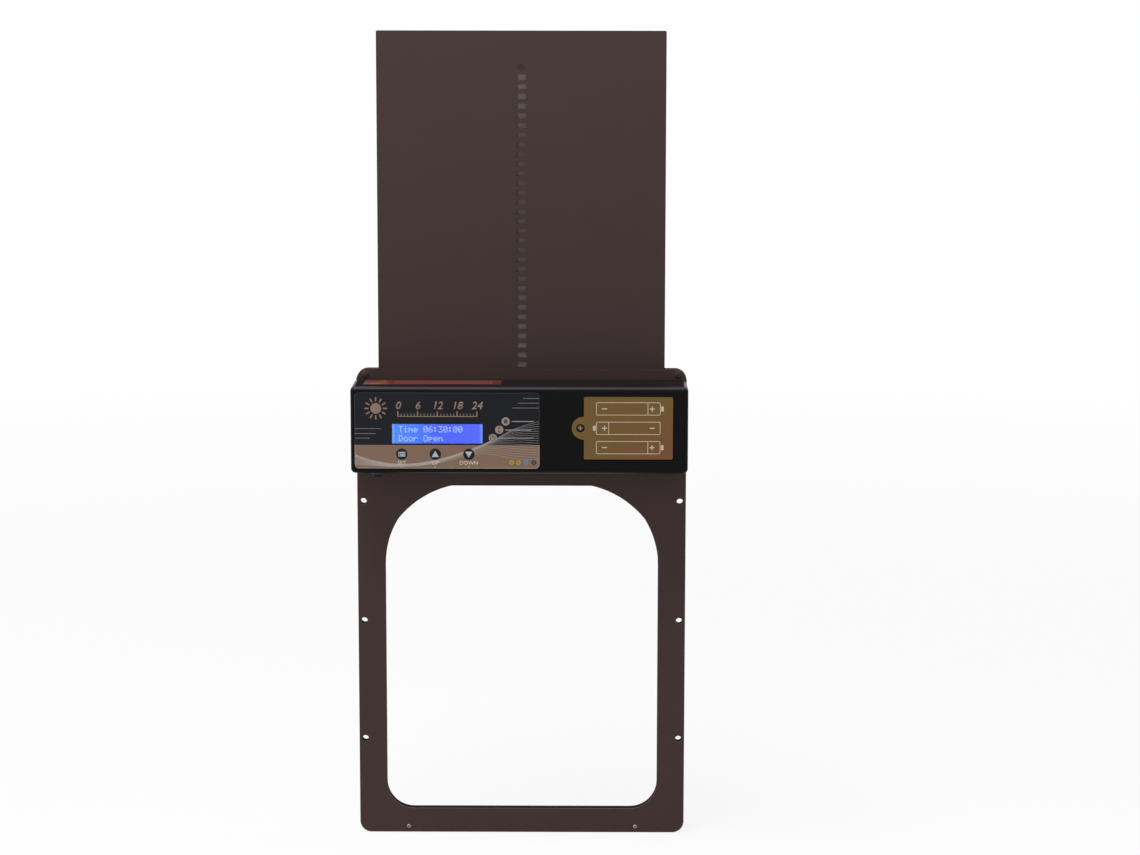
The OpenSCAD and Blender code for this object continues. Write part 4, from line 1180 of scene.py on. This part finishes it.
class COOP_OT_label_print(bpy.types.Operator):
    """Print the diagram of the three cells on the battery label"""

    bl_idname = "coop.label_print"
    bl_label = "Label print"

    def execute(self, context):
        art = Artwork("battery_label")
        # Three cells drawn 46 by 9.4 mm, one above another
        mid, low, pitch = art.width - 31.9, 8.6, 14.0
        for row in range(3):
            v = low + pitch * row
            # The middle cell lies the other way round
            side = -1 if row == 1 else 1
            plus, minus, band = mid + side * 17, mid - side * 17, mid + side * 14
            hollow(art.slab(mid, v, 46, 9.4, 1.2), 0.45)
            art.slab(mid + side * 24.3, v, 1.9, 3.6, 0.5)
            art.bar(plus, v, 3.6, 0.75)
            art.bar(plus, v, 0.75, 3.6)
            art.bar(minus, v, 3.6, 0.75)
            art.bar(band, v, 0.45, 9.0)
        white = screen_ink("screen ink, warm white", linear("#C9BBA8"))
        art.print("battery_label_print", "cover", white)
        return {"FINISHED"}


class COOP_OT_strip_print(bpy.types.Operator):
    """Print rows of pale dashes on the strip that lies on the housing"""

    bl_idname = "coop.strip_print"
    bl_label = "Strip print"

    def execute(self, context):
        low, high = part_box("top_strip")
        # The first dash's middle and size; the rows have 23 dashes, and there are three
        start = (low[0] + 23 * MM, low[1] + 5 * MM, high[2] + FILM * MM)
        size = Matrix.Diagonal((2.3 * MM, 2.2 * MM, 1, 1))
        bpy.ops.mesh.primitive_plane_add(size=1)
        dash = bpy.context.object
        dash.matrix_world = Matrix.Translation(start) @ size
        settle(dash)
        repeat(dash, 23, (3.1 * MM, 0, 0))
        repeat(dash, 3, (0, 5.2 * MM, 0))
        apply(dash, "SOLIDIFY", thickness=(FILM + SUNK) * MM, offset=-1)
        rose = screen_ink("screen ink, faded rose", linear("#80524D"))
        piece(dash, "strip_dash_print", "frame", rose)
        return {"FINISHED"}


# ---------- studio ----------


def seen_directly(tree):
    """1 for camera, mirror and glass rays, and 0 for the light that falls on the object."""
    path = add(tree, "ShaderNodeLightPath").outputs
    first = math_of(tree, "MAXIMUM", path["Is Camera Ray"], path["Is Glossy Ray"])
    return math_of(tree, "MAXIMUM", first, path["Is Transmission Ray"])


def softbox(name, place, target, size, power):
    """Square-edged area light that faces a target, in metres and watts."""
    bpy.ops.object.light_add(type="AREA", location=place)
    lamp = bpy.context.object
    lamp.name = name
    lamp.data.shape = "RECTANGLE"
    lamp.data.size, lamp.data.size_y = size
    lamp.data.energy = power
    lamp.rotation_euler = (Vector(target) - Vector(place)).to_track_quat("-Z", "Y").to_euler()


class COOP_OT_stage(bpy.types.Operator):
    """Set up the pale floor, the soft light and the camera"""

    bl_idname = "coop.stage"
    bl_label = "Stage"

    def execute(self, context):
        scene = context.scene
        # White studio card: it shows as background, and keeps a little of the shadow
        card, tree = blank("white studio card")
        spot = place_of(tree, (1, 1, 0))
        reach = add(tree, "ShaderNodeVectorMath", {0: spot}, operation="LENGTH").outputs["Value"]
        # Near the door 0.86 of the card is plain white, and from 2.5 m all of it
        share = between(tree, reach, 0.86, 1.0, 0.5, 2.5)
        share = math_of(tree, "MULTIPLY", share, seen_directly(tree))
        tone = blend(tree, grain(tree, 400), linear("#EDEDEC"), linear("#F2F2F1"))
        paper = add(tree, "ShaderNodeBsdfDiffuse", {"Color": tone})
        light = add(tree, "ShaderNodeEmission", {"Color": (1, 1, 1, 1), "Strength": 1.0})
        sockets = {0: share, 1: paper.outputs[0], 2: light.outputs[0]}
        surface(tree, add(tree, "ShaderNodeMixShader", sockets))
        ground = CAD_BOX[0][2] - 0.5 * MM
        bpy.ops.mesh.primitive_plane_add(size=60, location=(0, 0, ground))
        floor = settle(context.object)
        floor.name = "studio_floor"
        floor.data.materials.append(card)

        world = bpy.data.worlds.new("soft white room")
        scene.world = world
        world.use_nodes = True
        room = world.node_tree
        room.nodes.clear()
        ambient = add(room, "ShaderNodeBackground", {"Color": (1, 1, 1, 1), "Strength": 0.4})
        white = add(room, "ShaderNodeBackground", {"Color": (1, 1, 1, 1), "Strength": 1.0})
        sockets = {0: seen_directly(room), 1: ambient.outputs[0], 2: white.outputs[0]}
        both = add(room, "ShaderNodeMixShader", sockets)
        add(room, "ShaderNodeOutputWorld", {"Surface": both.outputs[0]})

        softbox("top softbox", (-0.4, -0.45, 1.75), (0, 0, 0.25), (1.2, 0.6), 26)
        softbox("left fill", (-1.0, -2.0, 0.75), (0, 0, 0.1), (1.6, 1.6), 8.6)

        bpy.ops.object.camera_add()
        camera = context.object
        camera.name = "view_camera"
        camera.data.lens = 94.74
        camera.data.sensor_width = 36
        # Turned to the left, tipped down and rolled, in degrees
        heading, dip, roll = 0.2533, 8.7601, 0.0845
        turn = (
            Matrix.Rotation(math.radians(heading), 4, "Z")
            @ Matrix.Rotation(math.radians(90 - dip), 4, "X")
            @ Matrix.Rotation(math.radians(roll), 4, "Z")
        )
        camera.matrix_world = Matrix.Translation((0.04483, -2.16603, 0.47644)) @ turn
        scene.camera = camera
        scene.view_settings.view_transform = "Standard"
        return {"FINISHED"}


STEPS = (
    COOP_OT_coats,
    COOP_OT_mouldings,
    COOP_OT_metals,
    COOP_OT_films,
    COOP_OT_sheets,
    COOP_OT_housing,
    COOP_OT_control_print,
    COOP_OT_sweep_print,
    COOP_OT_keys,
    COOP_OT_display,
    COOP_OT_label_print,
    COOP_OT_strip_print,
    COOP_OT_stage,
)


class COOP_PT_steps(bpy.types.Panel):
    """Sizes, colours and steps of the coop door"""

    bl_idname = "COOP_PT_steps"
    bl_label = "Coop door"
    bl_space_type = "VIEW_3D"
    bl_region_type = "UI"
    bl_category = "Coop door"

    def draw(self, context):
        for group in (context.scene.coop_sizes, context.scene.coop_colours):
            for name in group.__annotations__:
                self.layout.prop(group, name)
        for step in STEPS:
            self.layout.operator(step.bl_idname)


CLASSES = (CoopDoorSizes, CoopDoorColours, *STEPS, COOP_PT_steps)


def register():
    for item in CLASSES:
        bpy.utils.register_class(item)
    bpy.types.Scene.coop_sizes = bpy.props.PointerProperty(type=CoopDoorSizes)
    bpy.types.Scene.coop_colours = bpy.props.PointerProperty(type=CoopDoorColours)


def unregister():
    del bpy.types.Scene.coop_sizes
    del bpy.types.Scene.coop_colours
    for item in reversed(CLASSES):
        bpy.utils.unregister_class(item)


def main():
    register()
    for step in STEPS:
        group, name = step.bl_idname.split(".")
        getattr(getattr(bpy.ops, group), name)()


if __name__ == "__main__":
    main()
